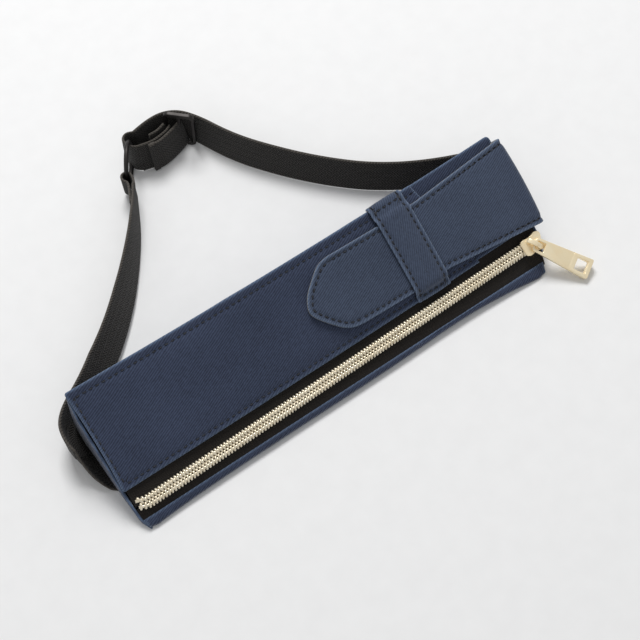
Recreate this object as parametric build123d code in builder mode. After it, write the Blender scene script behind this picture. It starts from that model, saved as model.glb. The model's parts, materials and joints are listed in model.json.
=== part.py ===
"""Zipped brush and pen case: a wedge-shaped fabric case with a flap-covered sleeve and an elastic band."""
from build123d import *
import os
from math import cos, radians, sin, tan

# ---- driving dimensions, millimetres -------------------------------------------------------
LENGTH = 195.0            # outside length of the case, along X
TILT = 31.5               # angle of the sloping top, which the zip shares
FRONT_Y = -25.2           # front bottom edge
FRONT_Z = 0.8             # height of the slope plane at the front bottom edge
SLOPE = 60.4              # slope length from the front edge to the back edge
BACK_Y = 26.2             # outer face of the back wall
FABRIC = 1.2              # sewn double cloth of the walls
CLOTH = 0.8               # single cloth of the flap
LINING = 0.6              # flap lining

ZIP_TURN = 1.05           # the zip runs slightly askew in the slope plane
ZIP_MID = 11.95           # slope position of the zip's centre line at x = 0
CHAIN_HALF = 2.9          # half width of the closed chain
CHAIN_GAP = 0.5           # half gap between the two coils, where the slider's post runs
COIL_HIGH = 1.9           # coil height over the tape
TAPE = 0.7                # tape thickness

NEAR_L, NEAR_R = 17.8, 19.2        # sleeve's near edge, at the left and the right end
HEM = 0.8                          # height of the folded hems that hold the sleeve open
HEM_WIDE = 3.5

TAB_Y = (-4.0, 11.0)      # elastic band's ends, sewn flat under both ends of the base
TAB_IN = 86.0             # how far in the ends are sewn
TAB_OUT = 104.5           # how far the flat ends reach out
BAND = 15.0               # elastic band width
BAND_THICK = 1.2

FLAP_END = 99.0           # flap hinge at the fold over the right end
FLAP_LINK = 21.0          # length of each of the two bowing parts of the flap
FLAP_LOW = 2.3            # underside of the flap over the slope plane
FLAP_TOP = FLAP_LOW + LINING + CLOTH
HINGE_GAP = 0.1

LOOP_X = (38.2, 53.8)     # keeper loop's two sides
LOOP_IN = 4.1             # underside of the loop's bridge over the slope plane
LOOP_CLOTH = 0.9

SLIDER_X = 92.3           # closed slider's centre, along the zip
PULLER_LONG = 25.5
PULLER_TURN = -56.0       # puller's direction in the slope plane, from +X
PULLER_RISE = 6.5         # its rise from the slope plane

os.makedirs("parts", exist_ok=True)

HALF = LENGTH / 2
TOP = Plane(origin=(0, FRONT_Y, FRONT_Z), x_dir=(1, 0, 0), z_dir=(0, -sin(radians(TILT)), cos(radians(TILT))))
ZIP = Plane(
    origin=TOP.from_local_coords(Vector(0, ZIP_MID, 0)),
    x_dir=TOP.x_dir.rotate(Axis((0, 0, 0), TOP.z_dir), ZIP_TURN),
    z_dir=TOP.z_dir,
)


def slope_point(x, s, n):
    """A point given along the case, up the slope and out of the slope plane."""
    return TOP.from_local_coords(Vector(x, s, n))


def near_edge(x):
    """Slope position of the sleeve's near edge."""
    return NEAR_L + (NEAR_R - NEAR_L) * (x + HALF) / LENGTH


def keep(part, name):
    """Label a finished piece and write it."""
    part.label = name
    export_step(part, f"parts/{name}.step")


def slope_plate(name, points, low, thick):
    """A flat plate of the given outline, lying parallel to the slope plane."""
    with BuildPart() as plate:
        with BuildSketch(TOP.offset(low)):
            with BuildLine():
                Polyline(*points, close=True)
            make_face()
        extrude(amount=thick)
    keep(plate.part, name)


def profile_bar(name, plane, points, length):
    """A bar whose outline is drawn on the plane and pulled along its normal."""
    with BuildPart() as bar:
        with BuildSketch(plane):
            with BuildLine():
                Polyline(*points, close=True)
            make_face()
        extrude(amount=length)
    keep(bar.part, name)


# ---- base --------------------------------------------------------------------------------
TAB_MID = (TAB_Y[0] + TAB_Y[1]) / 2
TAB_THICK = BAND_THICK - 0.1
NOTCH = BAND + 0.6
NOTCH_DEEPER = 0.2        # the notch reaches this much further in than the tab
BOARD_GAP = 2.5           # board's clearance to each end wall
BOARD_NARROWER = 9.0
BOARD_BACK = 2.0          # board's shift towards the back wall
BOARD_THICK = 1.0
BOARD_ROUND = 3.0
with BuildPart() as bottom_panel:
    with BuildSketch():
        with Locations((0, (FRONT_Y + BACK_Y) / 2)):
            Rectangle(LENGTH, BACK_Y - FRONT_Y)
        for side in (-1, 1):
            with Locations((side * (HALF + TAB_IN - NOTCH_DEEPER) / 2, TAB_MID)):
                Rectangle(HALF - TAB_IN + NOTCH_DEEPER, NOTCH, mode=Mode.SUBTRACT)
    extrude(amount=FABRIC)
keep(bottom_panel.part, "bottom_panel")

with BuildPart() as base_board:
    with BuildSketch(Plane.XY.offset(FABRIC)):
        with Locations((0, (FRONT_Y + BACK_Y) / 2 + BOARD_BACK)):
            RectangleRounded(
                LENGTH - 2 * (FABRIC + BOARD_GAP), BACK_Y - FRONT_Y - BOARD_NARROWER, BOARD_ROUND
            )
    extrude(amount=BOARD_THICK)
keep(base_board.part, "base_board")

for side, name in ((-1, "band_tab_left"), (1, "band_tab_right")):
    with BuildPart() as tab:
        with BuildSketch():
            with Locations((side * (TAB_IN + TAB_OUT) / 2, TAB_MID)):
                Rectangle(TAB_OUT - TAB_IN, BAND)
        extrude(amount=TAB_THICK)
    keep(tab.part, name)

# ---- walls -------------------------------------------------------------------------------
INSIDE = LENGTH - 2 * FABRIC


def slope_z(y, n):
    """Height of the plane parallel to the slope plane, n above it, at the given y."""
    return FRONT_Z + (y - FRONT_Y) * tan(radians(TILT)) + n / cos(radians(TILT))


BACK_IN = BACK_Y - FABRIC
across = Plane.YZ.offset(-INSIDE / 2)
profile_bar(
    "back_panel",
    across,
    [
        (BACK_IN, FABRIC),
        (BACK_Y, FABRIC),
        (BACK_Y, slope_z(BACK_Y, -FABRIC)),
        (BACK_IN, slope_z(BACK_IN, -FABRIC)),
    ],
    INSIDE,
)

SEAM_IN = 0.1             # the front seam stands this far behind the base's front edge
ROOF_IN = 0.6             # the end panels stop this far below the sleeve's far edge
STRIP_LOW = 1.0           # slope positions of the front strip
STRIP_TOP = 3.6
STRIP_THICK = 1.0


def slope_yz(s, n):
    """Cross-section place of a point up the slope and out of its plane."""
    spot = slope_point(0, s, n)
    return (spot.Y, spot.Z)


strip_back = slope_yz(STRIP_TOP, -STRIP_THICK)
floor_y = FRONT_Y + (FABRIC - slope_z(FRONT_Y, -STRIP_THICK)) / tan(radians(TILT))
profile_bar(
    "front_strip",
    across,
    [
        (FRONT_Y + SEAM_IN, FABRIC),
        slope_yz(STRIP_LOW, 0),
        slope_yz(STRIP_TOP, 0),
        strip_back,
        (floor_y, FABRIC),
    ],
    INSIDE,
)

END_OUTLINE = [
    (FRONT_Y + SEAM_IN, FABRIC),
    slope_yz(STRIP_LOW, 0),
    slope_yz(SLOPE - ROOF_IN, 0),
    (BACK_Y, slope_z(BACK_Y, -FABRIC)),
    (BACK_Y, FABRIC),
]
profile_bar("left_end_panel", Plane.YZ.offset(-HALF), END_OUTLINE, FABRIC)
profile_bar("right_end_panel", Plane.YZ.offset(HALF - FABRIC), END_OUTLINE, FABRIC)

# seam bindings: a narrow tape round the inside of each end seam
BINDING = 3.0
BIND_THICK = 0.6
BIND_GAP = 0.1
BIND_ROOF = near_edge(0) + 1.5     # where the binding ends under the sleeve
BIND_PROFILE = [
    (BACK_IN - BIND_THICK, FABRIC + BIND_GAP),
    (BACK_IN, FABRIC + BIND_GAP),
    (BACK_IN, slope_z(BACK_IN, -FABRIC) - BIND_GAP),
    slope_yz(BIND_ROOF, -FABRIC - BIND_GAP / 2),
    slope_yz(BIND_ROOF, -FABRIC - BIND_THICK),
    (BACK_IN - BIND_THICK, slope_z(BACK_IN - BIND_THICK, -FABRIC - BIND_THICK)),
]
profile_bar("left_seam_binding", Plane.YZ.offset(-HALF + FABRIC), BIND_PROFILE, BINDING)
profile_bar("right_seam_binding", Plane.YZ.offset(HALF - FABRIC - BINDING), BIND_PROFILE, BINDING)

# ---- sleeve over the compartment -----------------------------------------------------------
FAR = SLOPE
slope_plate(
    "sleeve_back_layer",
    [(x, near_edge(x)) for x in (-INSIDE / 2, INSIDE / 2)] + [(INSIDE / 2, FAR), (-INSIDE / 2, FAR)],
    -FABRIC,
    FABRIC,
)
slope_plate(
    "sleeve_near_hem",
    [
        (-HALF, near_edge(-HALF)),
        (HALF, near_edge(HALF)),
        (HALF, near_edge(HALF) + HEM_WIDE),
        (-HALF, near_edge(-HALF) + HEM_WIDE),
    ],
    0,
    HEM,
)
slope_plate(
    "sleeve_far_hem",
    [(-HALF, FAR - HEM_WIDE), (HALF, FAR - HEM_WIDE), (HALF, FAR), (-HALF, FAR)],
    0,
    HEM,
)
slope_plate(
    "sleeve_end_hem",
    [
        (-HALF, near_edge(-HALF) + HEM_WIDE),
        (-HALF + HEM_WIDE, near_edge(-HALF + HEM_WIDE) + HEM_WIDE),
        (-HALF + HEM_WIDE, FAR - HEM_WIDE),
        (-HALF, FAR - HEM_WIDE),
    ],
    0,
    HEM,
)
slope_plate(
    "sleeve_front_panel",
    [(-HALF, near_edge(-HALF)), (HALF, near_edge(HALF)), (HALF, FAR), (-HALF, FAR)],
    HEM,
    FABRIC,
)

# ---- zip -----------------------------------------------------------------------------------
ZIP_GAP = 1.0             # the zip stops this far from the end panels
ZIP_HALF = HALF - FABRIC - ZIP_GAP


def zip_line(x):
    """Slope position of the zip's centre line."""
    return ZIP_MID + x * tan(radians(ZIP_TURN))


ends = (-ZIP_HALF, ZIP_HALF)
slope_plate(
    "zip_tape_lower",
    [(x, STRIP_TOP) for x in ends] + [(x, zip_line(x) - CHAIN_GAP) for x in reversed(ends)],
    -TAPE,
    TAPE,
)
slope_plate(
    "zip_tape_upper",
    [(x, zip_line(x) + CHAIN_GAP) for x in ends] + [(x, near_edge(x)) for x in reversed(ends)],
    -TAPE,
    TAPE,
)

COIL_ROUND = 0.7
for name, low, high in (
    ("zip_coil_lower", -CHAIN_HALF, -CHAIN_GAP),
    ("zip_coil_upper", CHAIN_GAP, CHAIN_HALF),
):
    with BuildPart(ZIP) as coil:
        with Locations((0, (low + high) / 2, COIL_HIGH / 2)):
            Box(2 * ZIP_HALF, high - low, COIL_HIGH)
        along = coil.edges().filter_by(Axis(ZIP.origin, ZIP.x_dir))
        fillet(along.group_by(Axis(ZIP.origin, ZIP.z_dir))[-1], COIL_ROUND)
    keep(coil.part, name)

# ---- slider and puller -----------------------------------------------------------------------
PLATE_LOW = 2.2           # underside of the slider's top plate over the tape
PLATE = 1.0
PLATE_LONG = 10.6
PLATE_WIDE = 7.8
LOWER_TOP = -1.0
LOWER_PLATE = 0.9
LOWER_LONG = 8.8          # the plate inside the case is shorter, to clear the end wall
PLATE_ROUND = 1.6
WALL = 0.7
WALL_LOW = 0.4            # the side walls' underside over the tape
WALL_SHORTER = 3.4
POST = 0.3                # half width of the post between the coils
POST_LONG = 4.0
POST_AHEAD = 0.8          # the post stands this far towards the closed end
with BuildPart() as slider:
    with BuildSketch(ZIP.offset(PLATE_LOW)):
        with Locations((SLIDER_X, 0)):
            RectangleRounded(PLATE_LONG, PLATE_WIDE, PLATE_ROUND)
    extrude(amount=PLATE)
    with BuildSketch(ZIP.offset(LOWER_TOP - LOWER_PLATE)):
        with Locations((SLIDER_X - (PLATE_LONG - LOWER_LONG) / 2, 0)):
            RectangleRounded(LOWER_LONG, PLATE_WIDE, PLATE_ROUND)
    extrude(amount=LOWER_PLATE)
    with BuildSketch(ZIP.offset(WALL_LOW)):
        for side in (-1, 1):
            with Locations((SLIDER_X, side * (PLATE_WIDE - WALL) / 2)):
                Rectangle(PLATE_LONG - WALL_SHORTER, WALL)
    extrude(amount=PLATE_LOW - WALL_LOW)
    with BuildSketch(ZIP.offset(LOWER_TOP)):
        with Locations((SLIDER_X + POST_AHEAD, 0)):
            Rectangle(POST_LONG, 2 * POST)
    extrude(amount=PLATE_LOW - LOWER_TOP)
keep(slider.part, "slider_body")

PLATE_TOP = PLATE_LOW + PLATE
CROWN_HIGH = 2.9          # the crown is a small arch that holds the puller's bar
CROWN_LONG = 6.6
CROWN_WALL = 0.9
CROWN_WIDE = 1.9
PIVOT_UP = PLATE_TOP + 0.95
aim = ZIP.x_dir.rotate(Axis((0, 0, 0), ZIP.z_dir), PULLER_TURN)
pivot = ZIP.from_local_coords(Vector(SLIDER_X, 0, PIVOT_UP))
CROWN = Plane(origin=pivot, x_dir=aim, z_dir=aim.cross(ZIP.z_dir))
FOOT = PLATE_TOP - PIVOT_UP
SHOULDER_OUT = 1.6        # height of the arch's outer and inner shoulders over its foot
SHOULDER_IN = 1.1


def crown_arch(half, shoulder, top):
    """Outline of an arch over the crown's foot."""
    with BuildLine() as arch:
        Polyline((-half, FOOT), (-half, FOOT + shoulder))
        ThreePointArc((-half, FOOT + shoulder), (0, FOOT + top), (half, FOOT + shoulder))
        Polyline((half, FOOT + shoulder), (half, FOOT), (-half, FOOT))
    return arch.line


with BuildPart() as crown:
    with BuildSketch(CROWN.offset(-CROWN_WIDE / 2)):
        add(crown_arch(CROWN_LONG / 2, SHOULDER_OUT, CROWN_HIGH))
        make_face()
        add(crown_arch(CROWN_LONG / 2 - CROWN_WALL, SHOULDER_IN, CROWN_HIGH - CROWN_WALL))
        make_face(mode=Mode.SUBTRACT)
    extrude(amount=CROWN_WIDE)
keep(crown.part, "slider_crown")

# puller: an eye round the crown, a tapered blade and a wide end with a window
lift = aim.rotate(Axis((0, 0, 0), CROWN.z_dir), PULLER_RISE)
BLADE = Plane(origin=pivot, x_dir=lift, z_dir=CROWN.z_dir.cross(lift))
PULL_THICK = 1.1
EYE_HALF = 2.9            # half width of the eye's end
EYE_BAR = 0.5             # half thickness of the bar under the crown
EYE_START = 0.6           # where the eye's round end turns into the blade's sides
EYE_SIDE = 1.1            # width of the eye's sides
EYE_SIDE_END = 0.9
EYE_HOLE = 1.0
EYE_LONG = 4.6
BLADE_HALF = 4.3          # half width of the wide end
CORNER = 1.0
WINDOW_BACK = 4.2         # window's centre, from the wide end
WINDOW_LONG, WINDOW_WIDE, WINDOW_ROUND = 5.0, 5.2, 0.5
with BuildPart() as puller:
    with BuildSketch(BLADE.offset(-PULL_THICK / 2)):
        with BuildLine():
            ThreePointArc((EYE_START, -EYE_HALF), (-EYE_BAR, 0), (EYE_START, EYE_HALF))
            Polyline(
                (EYE_START, EYE_HALF),
                (PULLER_LONG - CORNER, BLADE_HALF),
                (PULLER_LONG, BLADE_HALF - CORNER),
                (PULLER_LONG, -BLADE_HALF + CORNER),
                (PULLER_LONG - CORNER, -BLADE_HALF),
                (EYE_START, -EYE_HALF),
            )
        make_face()
        hole_near = EYE_HALF - EYE_SIDE
        hole_far = EYE_HALF - EYE_SIDE_END
        with BuildLine():
            ThreePointArc((EYE_HOLE, -hole_near), (EYE_BAR, 0), (EYE_HOLE, hole_near))
            Polyline(
                (EYE_HOLE, hole_near),
                (EYE_LONG, hole_far),
                (EYE_LONG, -hole_far),
                (EYE_HOLE, -hole_near),
            )
        make_face(mode=Mode.SUBTRACT)
        with Locations((PULLER_LONG - WINDOW_BACK, 0)):
            RectangleRounded(WINDOW_LONG, WINDOW_WIDE, WINDOW_ROUND, mode=Mode.SUBTRACT)
    extrude(amount=PULL_THICK)
keep(puller.part, "puller")

# ---- flap ------------------------------------------------------------------------------------
FLAP_NEAR = 19.1          # flap edges at the fold, at the far end of the bowing parts and beyond
FLAP_FAR = 56.9
TONGUE_NEAR = 23.8
TONGUE_FAR = 53.6
HINGE_MID = FLAP_END - FLAP_LINK
HINGE_TONGUE = FLAP_END - 2 * FLAP_LINK


def flap_edges(x):
    """Near and far slope positions of the tapering flap."""
    share = (FLAP_END - x) / (2 * FLAP_LINK)
    return (
        FLAP_NEAR + (TONGUE_NEAR - FLAP_NEAR) * share,
        FLAP_FAR + (TONGUE_FAR - FLAP_FAR) * share,
    )


def flap_piece(name, right, left):
    """One bowing part of the flap: cloth over its lining."""
    near_r, far_r = flap_edges(right)
    near_l, far_l = flap_edges(left)
    outline = [(left, near_l), (right, near_r), (right, far_r), (left, far_l)]
    slope_plate(f"{name}_lining", outline, FLAP_LOW, LINING)
    slope_plate(f"{name}_cloth", outline, FLAP_LOW + LINING, CLOTH)


flap_piece("flap_root", FLAP_END - HINGE_GAP, HINGE_MID + HINGE_GAP)
flap_piece("flap_bow", HINGE_MID - HINGE_GAP, HINGE_TONGUE + HINGE_GAP)

TIP = (-3.0, 38.5)        # the tongue's blunt point
TIP_NEAR = (-2.4, 36.6)   # the ends of its small round
TIP_FAR = (-2.4, 40.4)
SIDE_NEAR = (3.3, 29.0)   # the tongue's sides bulge through these points
SIDE_FAR = (3.3, 48.2)
SHOULDER = 13.0
ROOT = HINGE_TONGUE - HINGE_GAP
for name, low, thick in (("tongue_lining", FLAP_LOW, LINING), ("tongue_cloth", FLAP_LOW + LINING, CLOTH)):
    with BuildPart() as tongue:
        with BuildSketch(TOP.offset(low)):
            with BuildLine():
                Polyline(
                    (SHOULDER, TONGUE_NEAR),
                    (ROOT, TONGUE_NEAR),
                    (ROOT, TONGUE_FAR),
                    (SHOULDER, TONGUE_FAR),
                )
                ThreePointArc((SHOULDER, TONGUE_FAR), SIDE_FAR, TIP_FAR)
                ThreePointArc(TIP_FAR, TIP, TIP_NEAR)
                ThreePointArc(TIP_NEAR, SIDE_NEAR, (SHOULDER, TONGUE_NEAR))
            make_face()
        extrude(amount=thick)
    keep(tongue.part, name)

# the fold that carries the flap round the right end of the sleeve
FOLD_OUT = 102.4
FOLD_MID = 1.2            # height of the fold's outermost line over the slope plane
FOLD_IN = FOLD_OUT - 1.3  # its inner face, and that face's height
FOLD_IN_MID = 1.1
FOLD_FOOT = HALF + 0.1    # the fold is sewn to the right end panel's outer face
FOLD_FOOT_TOP = -0.1
FOLD_TOP = FLAP_END + HINGE_GAP
fold_plane = Plane(origin=slope_point(0, FLAP_FAR, 0), x_dir=(1, 0, 0), z_dir=-TOP.y_dir)
with BuildPart() as flap_fold:
    with BuildSketch(fold_plane):
        with BuildLine():
            ThreePointArc((FOLD_FOOT, -FABRIC), (FOLD_OUT, FOLD_MID), (FOLD_TOP, FLAP_TOP))
            Line((FOLD_TOP, FLAP_TOP), (FOLD_TOP, FLAP_LOW))
            ThreePointArc((FOLD_TOP, FLAP_LOW), (FOLD_IN, FOLD_IN_MID), (FOLD_FOOT, FOLD_FOOT_TOP))
            Line((FOLD_FOOT, FOLD_FOOT_TOP), (FOLD_FOOT, -FABRIC))
        make_face()
    extrude(amount=FLAP_FAR - FLAP_NEAR)
keep(flap_fold.part, "flap_fold")

# ---- keeper loop -----------------------------------------------------------------------------
SLEEVE_TOP = HEM + FABRIC
FOOT_TOP = SLEEVE_TOP + LOOP_CLOTH
LOOP_OUT = LOOP_IN + LOOP_CLOTH
STEP_NEAR = TONGUE_NEAR - 1.2      # the loop steps up beside the tongue's edges
STEP_FAR = TONGUE_FAR + 1.2
STEP_LEAN = 0.2
LOOP_NEAR = near_edge(LOOP_X[0]) + 0.4
LOOP_FAR = FAR - 0.1
loop_plane = Plane(origin=slope_point(LOOP_X[0], 0, 0), x_dir=TOP.y_dir, z_dir=(1, 0, 0))
profile_bar(
    "keeper_loop",
    loop_plane,
    [
        (LOOP_NEAR, SLEEVE_TOP),
        (STEP_NEAR, SLEEVE_TOP),
        (STEP_NEAR + STEP_LEAN, LOOP_IN),
        (STEP_FAR - STEP_LEAN, LOOP_IN),
        (STEP_FAR, SLEEVE_TOP),
        (LOOP_FAR, SLEEVE_TOP),
        (LOOP_FAR, FOOT_TOP),
        (STEP_FAR + LOOP_CLOTH, FOOT_TOP),
        (STEP_FAR + LOOP_CLOTH - STEP_LEAN, LOOP_OUT),
        (STEP_NEAR - LOOP_CLOTH + STEP_LEAN, LOOP_OUT),
        (STEP_NEAR - LOOP_CLOTH, FOOT_TOP),
        (LOOP_NEAR, FOOT_TOP),
    ],
    LOOP_X[1] - LOOP_X[0],
)

# ---- elastic band and its fittings -------------------------------------------------------------
BAND_LOW = 0.3            # the band's lower edge over the table
RUN_SHARE = 0.45          # share of the shorter run that each bend takes up


def fitted_radii(points):
    """Bend radius at each inner point: a share of the shorter run over the tangent of half the turn."""
    radii = []
    for before, corner, after in zip(points, points[1:], points[2:]):
        run_in = Vector(*corner) - Vector(*before)
        run_out = Vector(*after) - Vector(*corner)
        half_turn = radians(run_in.get_angle(run_out)) / 2
        radii.append(RUN_SHARE * min(run_in.length, run_out.length) / tan(half_turn))
    return radii


def band_piece(name, points):
    """A stretch of the band, standing on edge along a route of runs and tangent arcs."""
    radii = fitted_radii(points)
    print(name, "radii", [round(r, 1) for r in radii])
    with BuildPart() as band:
        with BuildLine():
            route = FilletPolyline(*points, radius=radii)
        section = Plane(origin=route @ 0, x_dir=(0, 0, 1), z_dir=route % 0)
        with BuildSketch(section):
            with Locations((BAND_LOW + BAND / 2, 0)):
                Rectangle(BAND, BAND_THICK)
        sweep()
    print(name, "length", round(route.length, 1), "volume share",
          round(band.part.volume / (route.length * BAND * BAND_THICK), 3))
    keep(band.part, name)


BAND_RIGHT = [
    (103.6, 12.5), (104.4, 19.0), (99.5, 28.5), (79.5, 37.0), (61.0, 48.5), (47.0, 61.5),
    (34.5, 76.0), (21.5, 94.5), (13.2, 115.0), (6.5, 121.2), (-2.5, 122.4), (-10.0, 120.8),
]
BAND_LEFT = [
    (-104.0, 12.5), (-105.0, 19.0), (-100.5, 28.0), (-84.0, 35.5), (-66.5, 48.0), (-50.5, 63.5),
    (-36.5, 80.0), (-27.6, 92.9), (-23.2, 100.9),
]
BAND_RETURN = [(-12.8, 112.6), (-6.0, 111.4), (1.0, 112.4), (4.4, 113.9)]
BAND_TAIL = [(-5.8, 114.6), (-1.6, 114.7), (2.6, 116.0)]
band_piece("band_right", BAND_RIGHT)
band_piece("band_left", BAND_LEFT)
band_piece("band_return", BAND_RETURN)
band_piece("band_tail", BAND_TAIL)

RING_X, RING_Y = -18.5, 112.5
RING_OUT = 9.5
RING_ROD = 0.95
RING_TURN = 54.0          # direction of the ring's plane, from +X
with BuildPart() as ring:
    ring_plane = Plane(
        origin=(RING_X, RING_Y, RING_OUT),
        x_dir=(cos(radians(RING_TURN)), sin(radians(RING_TURN)), 0),
        z_dir=(sin(radians(RING_TURN)), -cos(radians(RING_TURN)), 0),
    )
    with BuildSketch(Plane(origin=ring_plane.origin, x_dir=ring_plane.x_dir, z_dir=(0, 0, 1))):
        with Locations((RING_OUT - RING_ROD, 0)):
            Circle(RING_ROD)
    revolve(axis=Axis(ring_plane.origin, ring_plane.z_dir))
keep(ring.part, "ring")

GLIDE_X, GLIDE_Y = 7.9, 114.3
GLIDE_TURN = -44.6        # direction of the adjuster's plate, from +X
GLIDE_WIDE = 13.0
GLIDE_HIGH = 20.0
GLIDE_THICK = 1.8
GLIDE_LOW = 0.1           # its lower edge over the table
GLIDE_ROUND = 2.4
GLIDE_BAR = 1.5
SLOT_HIGH = 16.2
SLOT_ROUND = 0.8
EDGE_ROUND = 0.35
glide_normal = (sin(radians(GLIDE_TURN)), -cos(radians(GLIDE_TURN)), 0)
glide_plane = Plane(
    origin=(GLIDE_X, GLIDE_Y, GLIDE_HIGH / 2 + GLIDE_LOW),
    x_dir=(cos(radians(GLIDE_TURN)), sin(radians(GLIDE_TURN)), 0),
    z_dir=glide_normal,
)
SLOT_WIDE = (GLIDE_WIDE - 3 * GLIDE_BAR) / 2
with BuildPart() as adjuster:
    with BuildSketch(glide_plane.offset(-GLIDE_THICK / 2)):
        RectangleRounded(GLIDE_WIDE, GLIDE_HIGH, GLIDE_ROUND)
        for side in (-1, 1):
            with Locations((side * (SLOT_WIDE + GLIDE_BAR) / 2, 0)):
                RectangleRounded(SLOT_WIDE, SLOT_HIGH, SLOT_ROUND, mode=Mode.SUBTRACT)
    extrude(amount=GLIDE_THICK)
    fillet(adjuster.edges().filter_by(Axis.Z), EDGE_ROUND)
keep(adjuster.part, "adjuster")
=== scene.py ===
"""Looks of the zipped brush case: sewn twill, zip, flap, elastic band and fittings round the CAD frame.

Lengths inside the script are millimetres in the case's frame, and mesh() writes them out in metres. On the
sloping top, x runs along the case, s up the slope from the front bottom edge and n out of the slope.
"""
import json
import math

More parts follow.
